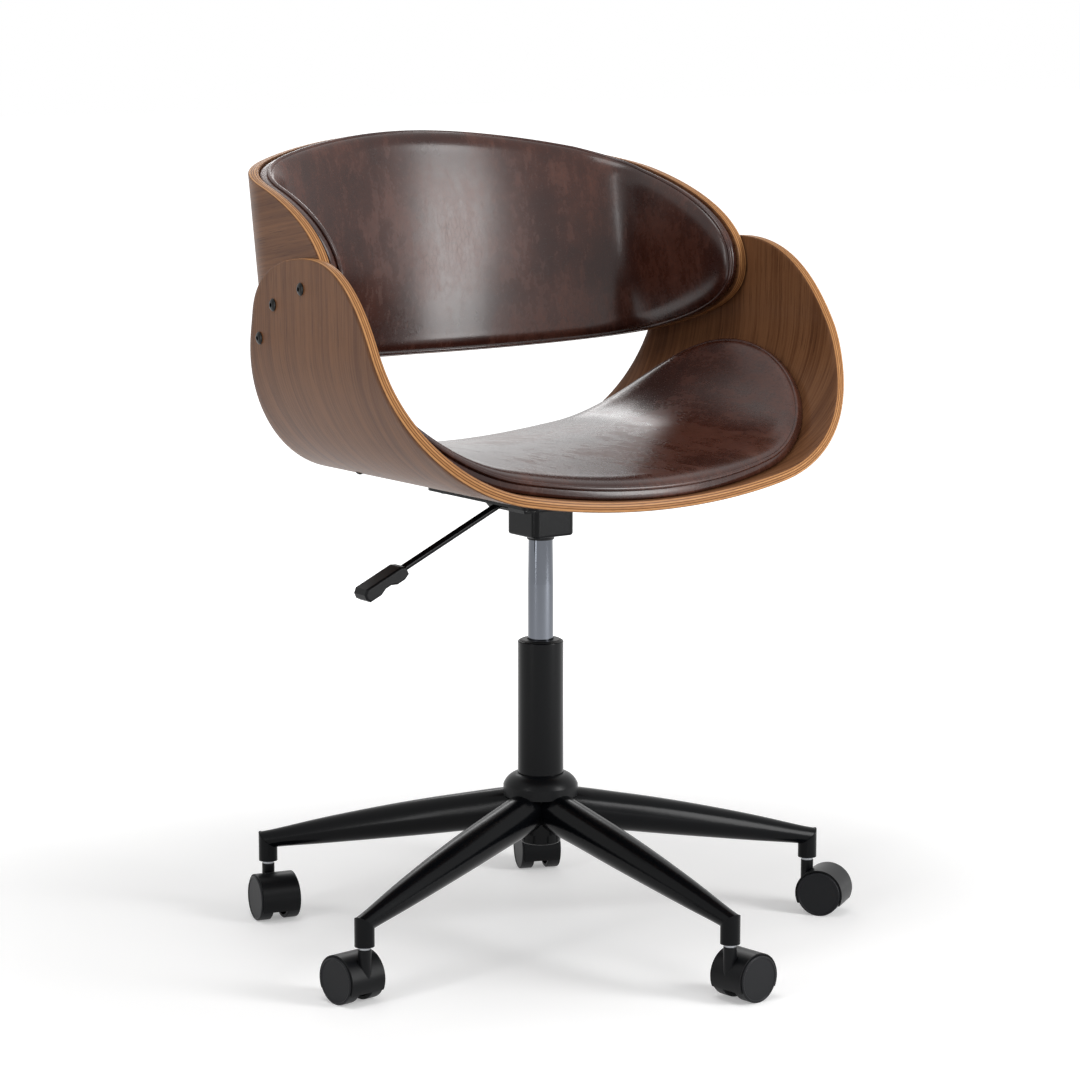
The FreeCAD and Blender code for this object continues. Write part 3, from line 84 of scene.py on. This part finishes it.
class Finish:
    """One material, built node by node."""

    def __init__(self, name, roughness=0.5, metallic=0.0, coat=0.0, coat_roughness=0.1, specular=0.5):
        self.material = bpy.data.materials.new(name)
        self.material.use_nodes = True
        self.tree = self.material.node_tree
        self.shader = self.tree.nodes["Principled BSDF"]
        for socket, value in (("Roughness", roughness), ("Metallic", metallic), ("Coat Weight", coat),
                              ("Coat Roughness", coat_roughness), ("Specular IOR Level", specular)):
            self.shader.inputs[socket].default_value = value

    def link(self, socket, value):
        if isinstance(value, Flow):
            self.tree.links.new(value.socket, socket)
        else:
            socket.default_value = value

    def add(self, kind, settings=None, sockets=None, out=0):
        node = self.tree.nodes.new(kind)
        for key, value in (settings or {}).items():
            if key == "stops":
                ramp = node.color_ramp
                while len(ramp.elements) < len(value):
                    ramp.elements.new(0.5)
                for element, (place, colour) in zip(ramp.elements, value):
                    element.position = place
                    element.color = (*colour, 1)
            else:
                setattr(node, key, value)
        for key, value in (sockets or {}).items():
            self.link(node.inputs[key], value)
        return Flow(self, node.outputs[out])

    def place(self, stretch=(1, 1, 1)):
        """Object coordinates, stretched."""
        return self.stretched(self.add("ShaderNodeTexCoord", out=3), stretch)

    def stretched(self, where, stretch):
        return self.add("ShaderNodeMapping", {}, {0: where, 3: stretch})

    def flat_place(self):
        """Where a point lay on its flat sheet, in metres."""
        return self.add("ShaderNodeAttribute", {"attribute_name": "flat"}, out=1)

    def noise(self, where, scale, detail=3, rough=0.5):
        return self.add("ShaderNodeTexNoise", {}, {"Vector": where, "Scale": scale, "Detail": detail,
                                                   "Roughness": rough})

    def grain(self, where, stretch, detail, rough=0.5):
        """Noise with so many marks a metre along, across and through the sheet."""
        return self.noise(self.stretched(where, stretch), 1.0, detail, rough)

    def ramp(self, value, *stops):
        return self.add("ShaderNodeValToRGB", {"stops": stops}, {0: value})

    def band(self, value, low, high):
        """0 below low, 1 above high, smooth between."""
        return self.add("ShaderNodeMapRange", {"interpolation_type": "SMOOTHSTEP"},
                        {0: value, 1: low, 2: high, 3: 0.0, 4: 1.0})

    def mix(self, share, first, second, blend="MIX"):
        return self.add("ShaderNodeMix", {"data_type": "RGBA", "blend_type": blend},
                        {0: share, 6: first, 7: second}, out=2)

    def bump(self, height, strength, depth=0.0002, under=None):
        sockets = {"Height": height, "Strength": strength, "Distance": depth}
        if under is not None:
            sockets["Normal"] = under
        return self.add("ShaderNodeBump", {}, sockets)

    def paint(self, **sockets):
        for name, value in sockets.items():
            self.link(self.shader.inputs[name.replace("_", " ")], value)
        return self.material


def colour(red, green, blue):
    """A colour as read on screen, made linear."""
    shades = [c / 255 for c in (red, green, blue)]
    return tuple(c / 12.92 if c <= 10 / 255 else ((c + 0.055) / 1.055) ** 2.4 for c in shades)


def rgba(red, green, blue):
    return (*colour(red, green, blue), 1)


# %% [markdown]
# ## Walnut-faced plywood
# The sheet is a stack of thin veneers pressed in a mould. Its faces show fine walnut grain that runs along
# the strip, with small dark pores, and its edge shows the stack as tan and brown lines. Each shell carries
# an attribute called `flat`: where every point lay before bending (along, across, and through the stack).
# The grain follows the bend that way, and the distance through the stack tells face from edge.

# %% Walnut finish
MM = 0.001
PLY = 11.5


def make_walnut():
    finish = Finish("walnut_ply", roughness=0.42, coat=0.16, coat_roughness=0.24, specular=0.05)
    flat = finish.flat_place()
    parts = finish.add("ShaderNodeSeparateXYZ", {}, {0: flat})
    through = Flow(finish, parts.socket.node.outputs[2])

    drift = finish.grain(flat, (1.3, 15.0, 6.0), 2)
    figure = finish.grain(flat, (2.4, 75.0, 20.0), 3)
    fine = finish.grain(flat, (6.0, 330.0, 60.0), 4, 0.65)
    pores = finish.band(finish.grain(flat, (24.0, 900.0, 80.0), 2), 0.58, 0.70)
    tone = finish.ramp(drift * 0.3 + figure * 0.3 + fine * 0.4, (0.32, colour(74, 42, 23)),
                       (0.45, colour(102, 66, 42)), (0.55, colour(122, 83, 55)), (0.68, colour(92, 58, 37)))
    face = finish.mix(pores * 0.6, tone, rgba(48, 27, 16))
    depth = through * (1 / (PLY * MM))
    pale, line, core, skin = colour(186, 136, 88), colour(98, 60, 35), colour(166, 118, 74), colour(84, 52, 33)
    plies = finish.ramp(depth, (0.0, skin), (0.06, skin), (0.085, pale), (0.245, pale), (0.265, line),
                        (0.325, line), (0.345, core), (0.475, core), (0.495, line), (0.55, line), (0.57, pale),
                        (0.70, pale), (0.72, line), (0.78, line), (0.80, core), (0.915, core), (0.94, skin))
    speck = finish.grain(flat, (90.0, 90.0, 500.0), 3)
    edge = finish.mix(finish.band(speck, 0.45, 0.75) * 0.45, plies, rgba(130, 86, 52))
    inside = finish.band(depth, 0.045, 0.06) * (1 - finish.band(depth, 0.94, 0.955))
    relief = finish.bump(fine * 0.6 - pores * 0.8, 0.35, 0.00012)
    return finish.paint(Base_Color=finish.mix(inside, face, edge),
                        Roughness=0.38 + fine * 0.14 + inside * 0.12, Normal=relief)


# %% [markdown]
# ## Brown bonded leather
# The cover is glossy and dark, with a paler clouded patina, dark specks and fine cracks where it is worn.
# Broad noise gives the clouds, a stretched noise the streaks, and fine noise the mottle and the specks. The
# edges of small cells make the pebble of the grain, and those of larger, stretched cells the cracks.

# %% Leather finish
def make_leather():
    finish = Finish("brown_leather", roughness=0.32, coat=0.38, coat_roughness=0.2, specular=0.25)
    flat = finish.flat_place()
    clouds = finish.grain(flat, (9.0, 9.0, 9.0), 5, 0.6)
    streaks = finish.grain(flat, (75.0, 20.0, 30.0), 4, 0.62)
    mottle = finish.grain(flat, (160.0, 130.0, 120.0), 3, 0.6)
    speckle = finish.band(finish.grain(flat, (420.0, 420.0, 420.0), 2), 0.60, 0.70)
    worn = finish.band(clouds * 0.5 + streaks * 0.3 + mottle * 0.2, 0.47, 0.62)
    deep = finish.mix(finish.band(clouds, 0.35, 0.62), rgba(45, 20, 14), rgba(62, 31, 22))
    tone = finish.mix(worn * 0.5, deep, rgba(92, 53, 40))
    tone = finish.mix(speckle * 0.4, tone, rgba(30, 15, 12))
    pebble = finish.add("ShaderNodeTexVoronoi", {"feature": "DISTANCE_TO_EDGE"},
                        {"Vector": flat, "Scale": 750.0, "Randomness": 1.0})
    crazing = finish.add("ShaderNodeTexVoronoi", {"feature": "DISTANCE_TO_EDGE"},
                         {"Vector": finish.stretched(flat, (170.0, 95.0, 95.0)), "Scale": 1.0,
                          "Randomness": 1.0})
    cracks = (1 - finish.band(crazing, 0.0, 0.06)) * worn
    small = finish.bump(finish.band(pebble, 0.0, 0.25), 0.22, 0.0001)
    relief = finish.bump(streaks * 0.6 + mottle * 0.35 - cracks * 0.5 + clouds * 0.5, 0.35, 0.0004, under=small)
    return finish.paint(Base_Color=finish.mix(cracks * 0.55, tone, rgba(30, 16, 13)),
                        Roughness=0.20 + worn * 0.12 + streaks * 0.08 + speckle * 0.08, Normal=relief)


# %% [markdown]
# ## Metals and plastics
# The base is coated steel with a smooth black skin, the hoods and wheels are moulded plastic, less glossy
# and with a fine grain, the lift is polished chrome, and small steel parts are zinc. Each finish has a
# little unevenness in its colour and roughness, so that reflections break up as on a real part.

# %% Hard finishes
def make_hard(name, tone, roughness, spread, metallic=0.0, grain=900.0, relief=0.05, specular=0.2):
    finish = Finish(name, roughness=roughness, metallic=metallic, specular=specular)
    broad = finish.noise(finish.place((7, 7, 7)), 1.0, 4)
    fine = finish.noise(finish.place((grain, grain, grain)), 1.0, 2)
    paler = (*[min(c * 1.4 + 0.001, 1) for c in colour(*tone)], 1)
    return finish.paint(Base_Color=finish.mix(broad * 0.5, rgba(*tone), paler),
                        Roughness=roughness + (broad - 0.5) * spread, Normal=finish.bump(fine, relief, 0.0001))


finishes = {
    "walnut_ply": make_walnut(),
    "brown_leather": make_leather(),
    "black_steel": make_hard("black_steel", (5, 6, 8), 0.20, 0.10, grain=1400.0, specular=0.12),
    "black_plastic": make_hard("black_plastic", (9, 10, 12), 0.34, 0.12, grain=1100.0, relief=0.12,
                               specular=0.14),
    "wheel_plastic": make_hard("wheel_plastic", (16, 17, 20), 0.44, 0.14, grain=700.0, relief=0.12),
    "black_bush": make_hard("black_bush", (14, 14, 15), 0.45, 0.1),
    "nylon": make_hard("nylon", (205, 202, 192), 0.45, 0.1, specular=0.4),
    "chrome": make_hard("chrome", (88, 91, 97), 0.08, 0.05, metallic=1.0, grain=60.0, relief=0.01),
    "zinc_steel": make_hard("zinc_steel", (150, 152, 156), 0.26, 0.14, metallic=1.0, grain=300.0, relief=0.06),
    "black_screws": make_hard("black_screws", (10, 10, 10), 0.30, 0.1),
    "rubber": make_hard("rubber", (16, 16, 16), 0.75, 0.1),
}
slots = {row["node"]: row["material_slot"] for row in frame["record"]["subparts"]}
for name, node in nodes.items():
    node.data.materials.clear()
    node.data.materials.append(finishes[slots[name]])
print("finishes:", len(finishes))

# %% [markdown]
# ## How the sheets bend
# Seen from the front, half the seat sheet is a wide arc, a tight arc and a straight arm. The back is the
# same idea, laid on its side. `Bend` turns a run along the strip into a sideways distance, a rise and a
# direction. All lengths here are in millimetres, and half a strip runs from the middle of the chair to its
# tip.

# %% Bend
SEAT_RUN, BACK_RUN = 467.0, 452.0
SEAT_WIDE, SEAT_TIGHT = 794.0, 166.0
BACK_WIDE, BACK_TIGHT = 476.0, 104.0


class Bend:
    """Half a strip: an arc of radius wide, one of radius tight, and a straight run that leans by end."""

    def __init__(self, wide, tight, spread, end):
        self.wide, self.tight, self.end = wide, tight, end
        self.turn = end - math.acos((spread - tight + wide * math.cos(end)) / (wide - tight))
        self.wide_run = wide * self.turn
        self.tight_run = tight * (end - self.turn)

    def at(self, run):
        first = np.minimum(run, self.wide_run) / self.wide
        bent = np.clip(run - self.wide_run, 0, self.tight_run) / self.tight
        straight = np.maximum(run - self.wide_run - self.tight_run, 0)
        angle = first + bent
        side = self.wide * np.sin(first) + self.tight * (np.sin(angle) - np.sin(first))
        rise = self.wide * (1 - np.cos(first)) + self.tight * (np.cos(first) - np.cos(angle))
        return side + straight * math.cos(self.end), rise + straight * math.sin(self.end), angle


# %% [markdown]
# ## The seat's bend
# The seat slopes down a little to the rear and its arms draw together towards the rear, so that they lie
# against the leaning back. `seat_place` bends flat points into that shape.

# %% Seat bend
RECLINE = math.radians(9.0)
SLOPE, TOE = 0.0159, 0.093
SPREAD = 286.6
UNDERSIDE = 499.4
arm_end = math.pi / 2 - math.atan(TOE * math.sin(RECLINE) / (math.cos(RECLINE) + SLOPE * math.sin(RECLINE)))
seat_bend = Bend(SEAT_WIDE, SEAT_TIGHT, SPREAD, arm_end)


def seat_place(flat):
    """Bend flat points (along, across, through; mm) into the seat."""
    side, rise, angle = seat_bend.at(np.abs(flat[:, 0]))
    y = flat[:, 1]
    x = side * (1 - TOE * y / SPREAD) - flat[:, 2] * np.sin(angle)
    z = UNDERSIDE + rise + flat[:, 2] * np.cos(angle) - SLOPE * y
    return np.stack([np.copysign(x, flat[:, 0]), y, z], 1)


print("arm lean", round(math.degrees(arm_end), 2))

# %% [markdown]
# ## The back's bend
# The back is drawn in its own leaning plane. Three points on the inner face of an arm give the way that
# face looks, and the back's straight ends are laid along it, with a slight clearance.

# %% Back bend
CLEARANCE = 1.6
origin = np.array([0.0, 243.0, 635.0])
forward = np.array([0.0, -math.cos(RECLINE), math.sin(RECLINE)])
upward = np.array([0.0, math.sin(RECLINE), math.cos(RECLINE)])
corners = seat_place(np.array([[SEAT_RUN * 0.9, 0, PLY], [SEAT_RUN * 0.95, 0, PLY], [SEAT_RUN * 0.9, 50, PLY]]))
facing = np.cross(corners[2] - corners[0], corners[1] - corners[0])
facing /= np.linalg.norm(facing)
reach = math.hypot(facing[0], facing @ forward)
back_bend = Bend(BACK_WIDE, BACK_TIGHT, facing @ (corners[0] - origin) / reach - CLEARANCE,
                 math.atan2(facing[0], -(facing @ forward)))


def back_place(flat):
    """Bend flat points (along, up, through; mm) into the back."""
    side, rise, angle = back_bend.at(np.abs(flat[:, 0]))
    x = side - flat[:, 2] * np.sin(angle)
    ahead = rise + flat[:, 2] * np.cos(angle)
    place = origin + np.outer(ahead, forward) + np.outer(flat[:, 1], upward)
    place[:, 0] = np.copysign(x, flat[:, 0])
    return place


print("back spread", round(float(back_bend.at(np.array([BACK_RUN]))[0][0]), 1))

# %% [markdown]
# ## Outlines
# Laid flat, half a sheet lies between two lines of smooth curves that meet at its tip. The other half
# mirrors it. `edges` gives the two sides at any run.

# %% Outlines
BACK_HIGH, BACK_TIP, BACK_LOW = 239, 62, -12


def curve_points(points, count=400):
    share = np.linspace(0, 1, count)[:, None]
    p = np.array(points, float)
    rest = 1 - share
    return rest ** 3 * p[0] + 3 * rest ** 2 * share * p[1] + 3 * rest * share ** 2 * p[2] + share ** 3 * p[3]


def side_line(*curves):
    line = np.concatenate([curve_points(c) for c in curves])
    order = np.argsort(line[:, 0], kind="stable")
    return line[order]


seat_front = side_line([(0, -222), (215, -222), (245, -198), (355, -143)],
                       [(355, -143), (415, -113), (SEAT_RUN, -70), (SEAT_RUN, 5)])
seat_rear = side_line([(SEAT_RUN, 5), (SEAT_RUN, 75), (448, 126), (410, 138)],
                      [(410, 138), (250, 176), (75, 225), (0, 225)])
back_top = side_line([(0, BACK_HIGH), (189.8, BACK_HIGH), (BACK_RUN, 150), (BACK_RUN, BACK_TIP)])
back_low = side_line([(0, BACK_LOW), (390, -15), (BACK_RUN, 5), (BACK_RUN, BACK_TIP)])


def edges(low, high, run):
    return np.interp(np.abs(run), low[:, 0], low[:, 1]), np.interp(np.abs(run), high[:, 0], high[:, 1])


print("points in each line:", len(seat_front), len(seat_rear), len(back_top), len(back_low))

# %% [markdown]
# ## Moving a mesh's points
# Each soft or bent piece starts as a grid, a sphere or a torus whose points are moved by arrays of numbers.
# These helpers read and write all the points at once, and close a mesh with clean normals and a finish.

# %% Mesh helpers
def start():
    if bpy.context.object and bpy.context.object.mode != "OBJECT":
        bpy.ops.object.mode_set(mode="OBJECT")
    bpy.ops.object.select_all(action="DESELECT")


def points_of(piece):
    flat = np.empty(len(piece.data.vertices) * 3)
    piece.data.vertices.foreach_get("co", flat)
    return flat.reshape(-1, 3)


def move_to(piece, points):
    piece.data.vertices.foreach_set("co", np.asarray(points, float).ravel())
    piece.data.update()


def keep_flat(piece, flat):
    """Store where each point lay on the flat sheet, in metres."""
    attribute = piece.data.attributes.new("flat", "FLOAT_VECTOR", "POINT")
    attribute.data.foreach_set("vector", (flat * MM).astype(np.float32).ravel())


def finish_mesh(piece, name, material, angle=40):
    piece.name = name
    piece.data.name = name
    piece.data.materials.clear()
    piece.data.materials.append(finishes[material])
    start()
    piece.select_set(True)
    bpy.context.view_layer.objects.active = piece
    bpy.ops.object.mode_set(mode="EDIT")
    bpy.ops.mesh.select_all(action="SELECT")
    bpy.ops.mesh.remove_doubles(threshold=0.00002)
    bpy.ops.mesh.normals_make_consistent(inside=False)
    bpy.ops.object.mode_set(mode="OBJECT")
    bpy.ops.object.shade_smooth_by_angle(angle=math.radians(angle))
    return piece


# %% [markdown]
# ## Bent shells
# A press bends a flat stack, so the mesh is made the same way. A grid is extruded through the thickness in
# five steps, fitted to the outline, drawn in a little near both faces so that its edge is eased, and only
# then bent.

# %% Shells
TIP_TURN = 89.2
HALF_WIDTH = 180


def make_shell(name, run, low, high, place, across=150, along=44):
    start()
    bpy.ops.mesh.primitive_grid_add(x_subdivisions=across, y_subdivisions=along, size=2)
    piece = bpy.context.object
    bpy.ops.object.mode_set(mode="EDIT")
    bpy.ops.mesh.select_all(action="SELECT")
    for rise in (0.05, 0.10, 0.70, 0.10, 0.05):
        bpy.ops.mesh.extrude_region_move(TRANSFORM_OT_translate={"value": (0, 0, rise)})
    bpy.ops.object.mode_set(mode="OBJECT")
    grid = points_of(piece)
    flat = np.empty_like(grid)
    flat[:, 0] = run * np.sin(np.radians(TIP_TURN) * grid[:, 0])
    near, far = edges(low, high, flat[:, 0])
    flat[:, 1] = near + (far - near) * (grid[:, 1] + 1) / 2
    flat[:, 2] = grid[:, 2] * PLY
    eased = np.interp(np.abs(grid[:, 2] - 0.5), (0.35, 0.45, 0.5), (0.0, 0.4, 1.5))
    flat[:, 0] *= 1 - eased / run
    middle = (near + far) / 2
    flat[:, 1] = middle + (flat[:, 1] - middle) * (1 - eased / HALF_WIDTH)
    keep_flat(piece, flat)
    move_to(piece, place(flat) * MM)
    finish_mesh(piece, name, "walnut_ply", 32)
    print(name, "faces", len(piece.data.polygons))
    return piece


seat_sheet = make_shell("seat_sheet", SEAT_RUN, seat_front, seat_rear, seat_place)
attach(seat_sheet, "seat")
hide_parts("seat_shell")
back_sheet = make_shell("back_sheet", BACK_RUN, back_low, back_top, back_place)
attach(back_sheet, "seat")
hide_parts("back_shell")

# %% [markdown]
# ## Leather pads
# Each pad is foam on a shaped board under a tight cover: a low upright border, a piped seam, a soft
# shoulder and a slight crown. A short cloth run with some pressure measures how far the cover fills out,
# and its shape is then put back: the real cover is taut and shows no puckers, so the crown is one smooth
# dome, capped at 5 mm.

# %% Filling out a cover
LOOSE_EDGE = 0.93
PRESSURE = 4.0
MOST_RISE = 5.0


def swell(piece, share, loose):
    """Let pressure fill out the loose points, then crown the cover by 1.5 times their mean rise, up to a cap."""
    before = points_of(piece)
    group = piece.vertex_groups.new(name="held")
    for index, free in enumerate(loose):
        group.add([index], 1.0 - float(free), "REPLACE")
    cloth = piece.modifiers.new("cover", "CLOTH")
    cloth.settings.quality = 6
    cloth.settings.mass = 0.4
    cloth.settings.tension_stiffness = 25
    cloth.settings.compression_stiffness = 25
    cloth.settings.bending_stiffness = 2.0
    cloth.settings.use_pressure = True
    cloth.settings.uniform_pressure_force = PRESSURE
    cloth.settings.vertex_group_mass = "held"
    cloth.settings.effector_weights.gravity = 0
    cloth.point_cache.frame_end = 20
    for number in range(1, 21):
        bpy.context.scene.frame_set(number)
    start()
    piece.select_set(True)
    bpy.context.view_layer.objects.active = piece
    bpy.ops.object.modifier_apply(modifier="cover")
    bpy.context.scene.frame_set(1)
    moved = points_of(piece) - before
    move_to(piece, before)
    normals = np.empty(len(before) * 3, np.float32)
    piece.data.vertices.foreach_get("normal", normals)
    normals = normals.reshape(-1, 3)
    filled = (moved * normals).sum(1)[loose > 0.9].mean()
    rise = np.clip(filled * 1.5, 0, MOST_RISE * MM)
    dome = np.where(loose > 0, np.clip(1 - (share / LOOSE_EDGE) ** 2, 0, 1) ** 1.5, 0) * rise
    move_to(piece, before + normals * dome[:, None])
    piece.vertex_groups.clear()
    print(piece.name, "cloth rose", round(float(filled) / MM, 2), "mm on average,",
          "crowned by", round(float(rise) / MM, 2), "mm")


# %% [markdown]
# ## A pad's section
# A sphere has rings and segments where a pad needs them. Each ring is moved to its place on the pad's
# section, and the whole is bent like the sheet under it. The piping is a torus laid along the seam in the
# same way.

# %% Pad section
CROWN_EDGE = 0.86


def pad_profile(border, welt, shoulder, crown):
    """Rings from the crown's middle to the base's middle: share of the outline, and height."""
    rings = []
    for share in np.linspace(0, CROWN_EDGE, 26):
        rings.append((share, border + welt + shoulder + crown * (1 - (share / CROWN_EDGE) ** 2)))
    for turn in np.linspace(0, 90, 11)[1:]:
        a = math.radians(turn)
        rings.append((CROWN_EDGE + (1 - CROWN_EDGE) * math.sin(a),
                      border + welt * 0.6 + (shoulder + welt * 0.4) * math.cos(a)))
    rings += [(0.993, border + welt * 0.3), (0.996, border), (1.0, border - 1.2)]
    rings += [(1.0, border * 0.5), (1.0, 1.2)]
    rings += [(0.996, 0.2), (0.99, 0.0), (0.9, 0.0), (0.6, 0.0), (0.3, 0.0), (0.0, 0.0)]
    return rings


def make_pad(name, outline, centre, rings, place):
    start()
    bpy.ops.mesh.primitive_uv_sphere_add(segments=176, ring_count=len(rings) - 1, radius=1)
    piece = bpy.context.object
    piece.name = name
    ball = points_of(piece)
    ring = np.rint(np.degrees(np.arccos(np.clip(ball[:, 2], -1, 1))) / 180 * (len(rings) - 1)).astype(int)
    turn = np.arctan2(ball[:, 1], ball[:, 0])
    table = np.array(rings)
    rim = outline(turn)
    flat = np.empty_like(ball)
    flat[:, :2] = centre + (rim - centre) * table[ring, 0][:, None]
    flat[:, 2] = LIFT + table[ring, 1]
    keep_flat(piece, flat)
    move_to(piece, place(flat) * MM)
    loose = np.clip((LOOSE_EDGE - table[ring, 0]) / 0.2, 0, 1) * (table[ring, 1] > 5)
    swell(piece, table[ring, 0], loose)
    return finish_mesh(piece, name, "brown_leather", 60)


def make_welt(name, outline, height, place):
    """Piping: a torus laid along the seam."""
    start()
    bpy.ops.mesh.primitive_torus_add(major_segments=352, minor_segments=14, major_radius=1.0,
                                     minor_radius=0.1)
    piece = bpy.context.object
    ring = points_of(piece)
    turn = np.arctan2(ring[:, 1], ring[:, 0])
    reach = np.hypot(ring[:, 0], ring[:, 1]) - 1.0
    rim = outline(turn)
    ahead = outline(turn + 0.004) - outline(turn - 0.004)
    outward = np.stack([ahead[:, 1], -ahead[:, 0]], 1)
    outward /= np.linalg.norm(outward, axis=1, keepdims=True)
    flat = np.empty_like(ring)
    flat[:, :2] = rim + outward * (reach * 10 * WELT_RADIUS)[:, None]
    flat[:, 2] = LIFT + height + ring[:, 2] * 10 * WELT_RADIUS
    keep_flat(piece, flat)
    move_to(piece, place(flat) * MM)
    return finish_mesh(piece, name, "brown_leather", 80)


# %% [markdown]
# ## The two pads
# The seat pad is an oval, and the back pad follows its sheet almost to the edge. Both lie just above the
# ply.

# %% Pads
LIFT = PLY + 0.8
INSET = 2.5
WELT_RADIUS = 2.3
SEAT_PAD = (345.0, 212.0)
SEAT_CENTRE = np.array([0.0, -5.0])
BACK_CENTRE = np.array([0.0, 100.0])


def seat_outline(turn):
    return np.stack([SEAT_PAD[0] * np.cos(turn), SEAT_PAD[1] * np.sin(turn) + SEAT_CENTRE[1]], 1)


def back_outline(turn):
    """The back sheet's outline, drawn in a little all round."""
    run = BACK_RUN * np.cos(turn)
    low, high = edges(back_low, back_top, run)
    high = BACK_TIP + (high - BACK_TIP) * (1 - INSET / (BACK_HIGH - BACK_TIP))
    low = BACK_TIP + (low - BACK_TIP) * (1 - INSET / (BACK_TIP - BACK_LOW))
    return np.stack([run * (1 - INSET / BACK_RUN), np.where(np.sin(turn) >= 0, high, low)], 1)


seat_cushion = make_pad("seat_cushion", seat_outline, SEAT_CENTRE, pad_profile(9.5, 4.6, 8.0, 4.5), seat_place)
seat_welt = make_welt("seat_welt", seat_outline, 11.8, seat_place)
back_cushion = make_pad("back_cushion", back_outline, BACK_CENTRE, pad_profile(8.0, 4.6, 8.0, 4.5), back_place)
back_welt = make_welt("back_welt", back_outline, 10.3, back_place)
for cushion, welt, node in ((seat_cushion, seat_welt, "seat_pad"), (back_cushion, back_welt, "back_pad")):
    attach(cushion, "seat")
    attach(welt, "seat")
    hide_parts(node)
    print(cushion.name, len(cushion.data.polygons), "faces,", welt.name, len(welt.data.polygons), "faces")

# %% [markdown]
# ## Studio floor
# The photograph's ground is white. To the camera and to reflections the floor glows: softly under the
# chair, where its shadow should stay, and fully white from 1.5 m out. To other rays it is a plain pale
# floor.

# %% Floor
start()
bpy.ops.mesh.primitive_plane_add(size=40)
floor = bpy.context.object
floor.name = "studio_floor"
ground = Finish("studio_floor", roughness=0.8, specular=0.0)
spread = ground.add("ShaderNodeVectorMath", {"operation": "LENGTH"}, {0: ground.place()}, out=1)
rays = ground.add("ShaderNodeLightPath")
glossy = Flow(ground, rays.socket.node.outputs["Is Glossy Ray"])
seen = ground.add("ShaderNodeMath", {"operation": "MAXIMUM"}, {0: rays, 1: glossy})
glow = seen * (0.30 + ground.band(spread, 0.45, 1.5) * 0.7)
floor.data.materials.append(ground.paint(Base_Color=(0.8, 0.8, 0.8, 1), Emission_Color=(1, 1, 1, 1),
                                         Emission_Strength=glow))
print("floor:", floor.name)

# %% [markdown]
# ## Studio world
# The world is white to the camera and in reflections, and dimmer as a light, so that the colours aren't
# washed out.

# %% World
world = bpy.data.worlds.new("studio")
bpy.context.scene.world = world
world.use_nodes = True
tree = world.node_tree
background = tree.nodes["Background"]
background.inputs["Color"].default_value = (1, 1, 1, 1)
paths = tree.nodes.new("ShaderNodeLightPath")
seen = tree.nodes.new("ShaderNodeMath")
seen.operation = "MAXIMUM"
tree.links.new(paths.outputs["Is Camera Ray"], seen.inputs[0])
tree.links.new(paths.outputs["Is Glossy Ray"], seen.inputs[1])
level = tree.nodes.new("ShaderNodeMapRange")
level.inputs[3].default_value = 0.35
level.inputs[4].default_value = 1.0
tree.links.new(seen.outputs[0], level.inputs[0])
tree.links.new(level.outputs[0], background.inputs["Strength"])
print("world nodes:", len(tree.nodes))


# %% [markdown]
# ## Soft boxes
# Four boxes shape the chair: a tall one at the front right, which the back pad and the chrome mirror, a
# narrow one at the left for a thin highlight, one overhead, and a weak one behind that lights the back
# sheet's rear.

# %% Lamps
def soft_box(name, azimuth, height, distance, size, power):
    """Area lamp facing the seat. Azimuth 0 is in front of the chair, positive to its +X side."""
    lamp = bpy.data.lights.new(name, "AREA")
    lamp.shape = "RECTANGLE"
    lamp.size, lamp.size_y = size
    lamp.energy = power
    holder = bpy.data.objects.new(name, lamp)
    bpy.context.scene.collection.objects.link(holder)
    angle = math.radians(azimuth)
    holder.location = (math.sin(angle) * distance, -math.cos(angle) * distance, height)
    aim = Vector((0, 0, 0.6)) - holder.location
    holder.rotation_euler = aim.to_track_quat("-Z", "Y").to_euler()


soft_box("front_right_box", 29, 1.15, 2.6, (0.85, 2.0), 58)
soft_box("left_box", -80, 1.03, 2.4, (0.22, 2.0), 11)
soft_box("overhead_box", -60, 2.9, 0.7, (1.2, 1.2), 22)
soft_box("rear_box", 150, 1.7, 2.4, (1.2, 0.5), 7)
print("lamps:", len(bpy.data.lights))

# %% [markdown]
# ## Camera
# The camera was fitted to the photograph by the caster sockets, the column and the sheets' outlines. It
# stands 35.6 degrees to the left of the chair's front, looks down by 9.2 degrees, and its focal length was
# found in pixels of a frame 1080 wide.

# %% Camera
FOCAL_PIXELS, FRAME_PIXELS, SENSOR = 3508.3, 1080, 36
AZIMUTH, DOWN = math.radians(-35.58), 9.224
DISTANCE, ASIDE, EYE_HEIGHT = 3.7539, -0.00068, 1.0517
camera_data = bpy.data.cameras.new("photo_camera")
camera_data.sensor_width = SENSOR
camera_data.lens = FOCAL_PIXELS / FRAME_PIXELS * SENSOR
camera_data.clip_end = 60
camera = bpy.data.objects.new("photo_camera", camera_data)
bpy.context.scene.collection.objects.link(camera)
stand = Vector((math.sin(AZIMUTH), -math.cos(AZIMUTH), 0)) * DISTANCE
sideways = Vector((math.cos(AZIMUTH), math.sin(AZIMUTH), 0)) * ASIDE
camera.location = stand + sideways + Vector((0, 0, EYE_HEIGHT))
camera.rotation_euler = (math.radians(90 - DOWN), 0, AZIMUTH)
bpy.context.scene.camera = camera
bpy.context.scene.view_settings.view_transform = "Standard"
print("camera at", [round(value, 3) for value in camera.location], "lens", round(camera_data.lens, 1))

# %% [markdown]
# ## Sizes
# ## Update
# The view layer is brought up to date.

# %% Update
bpy.context.view_layer.update()
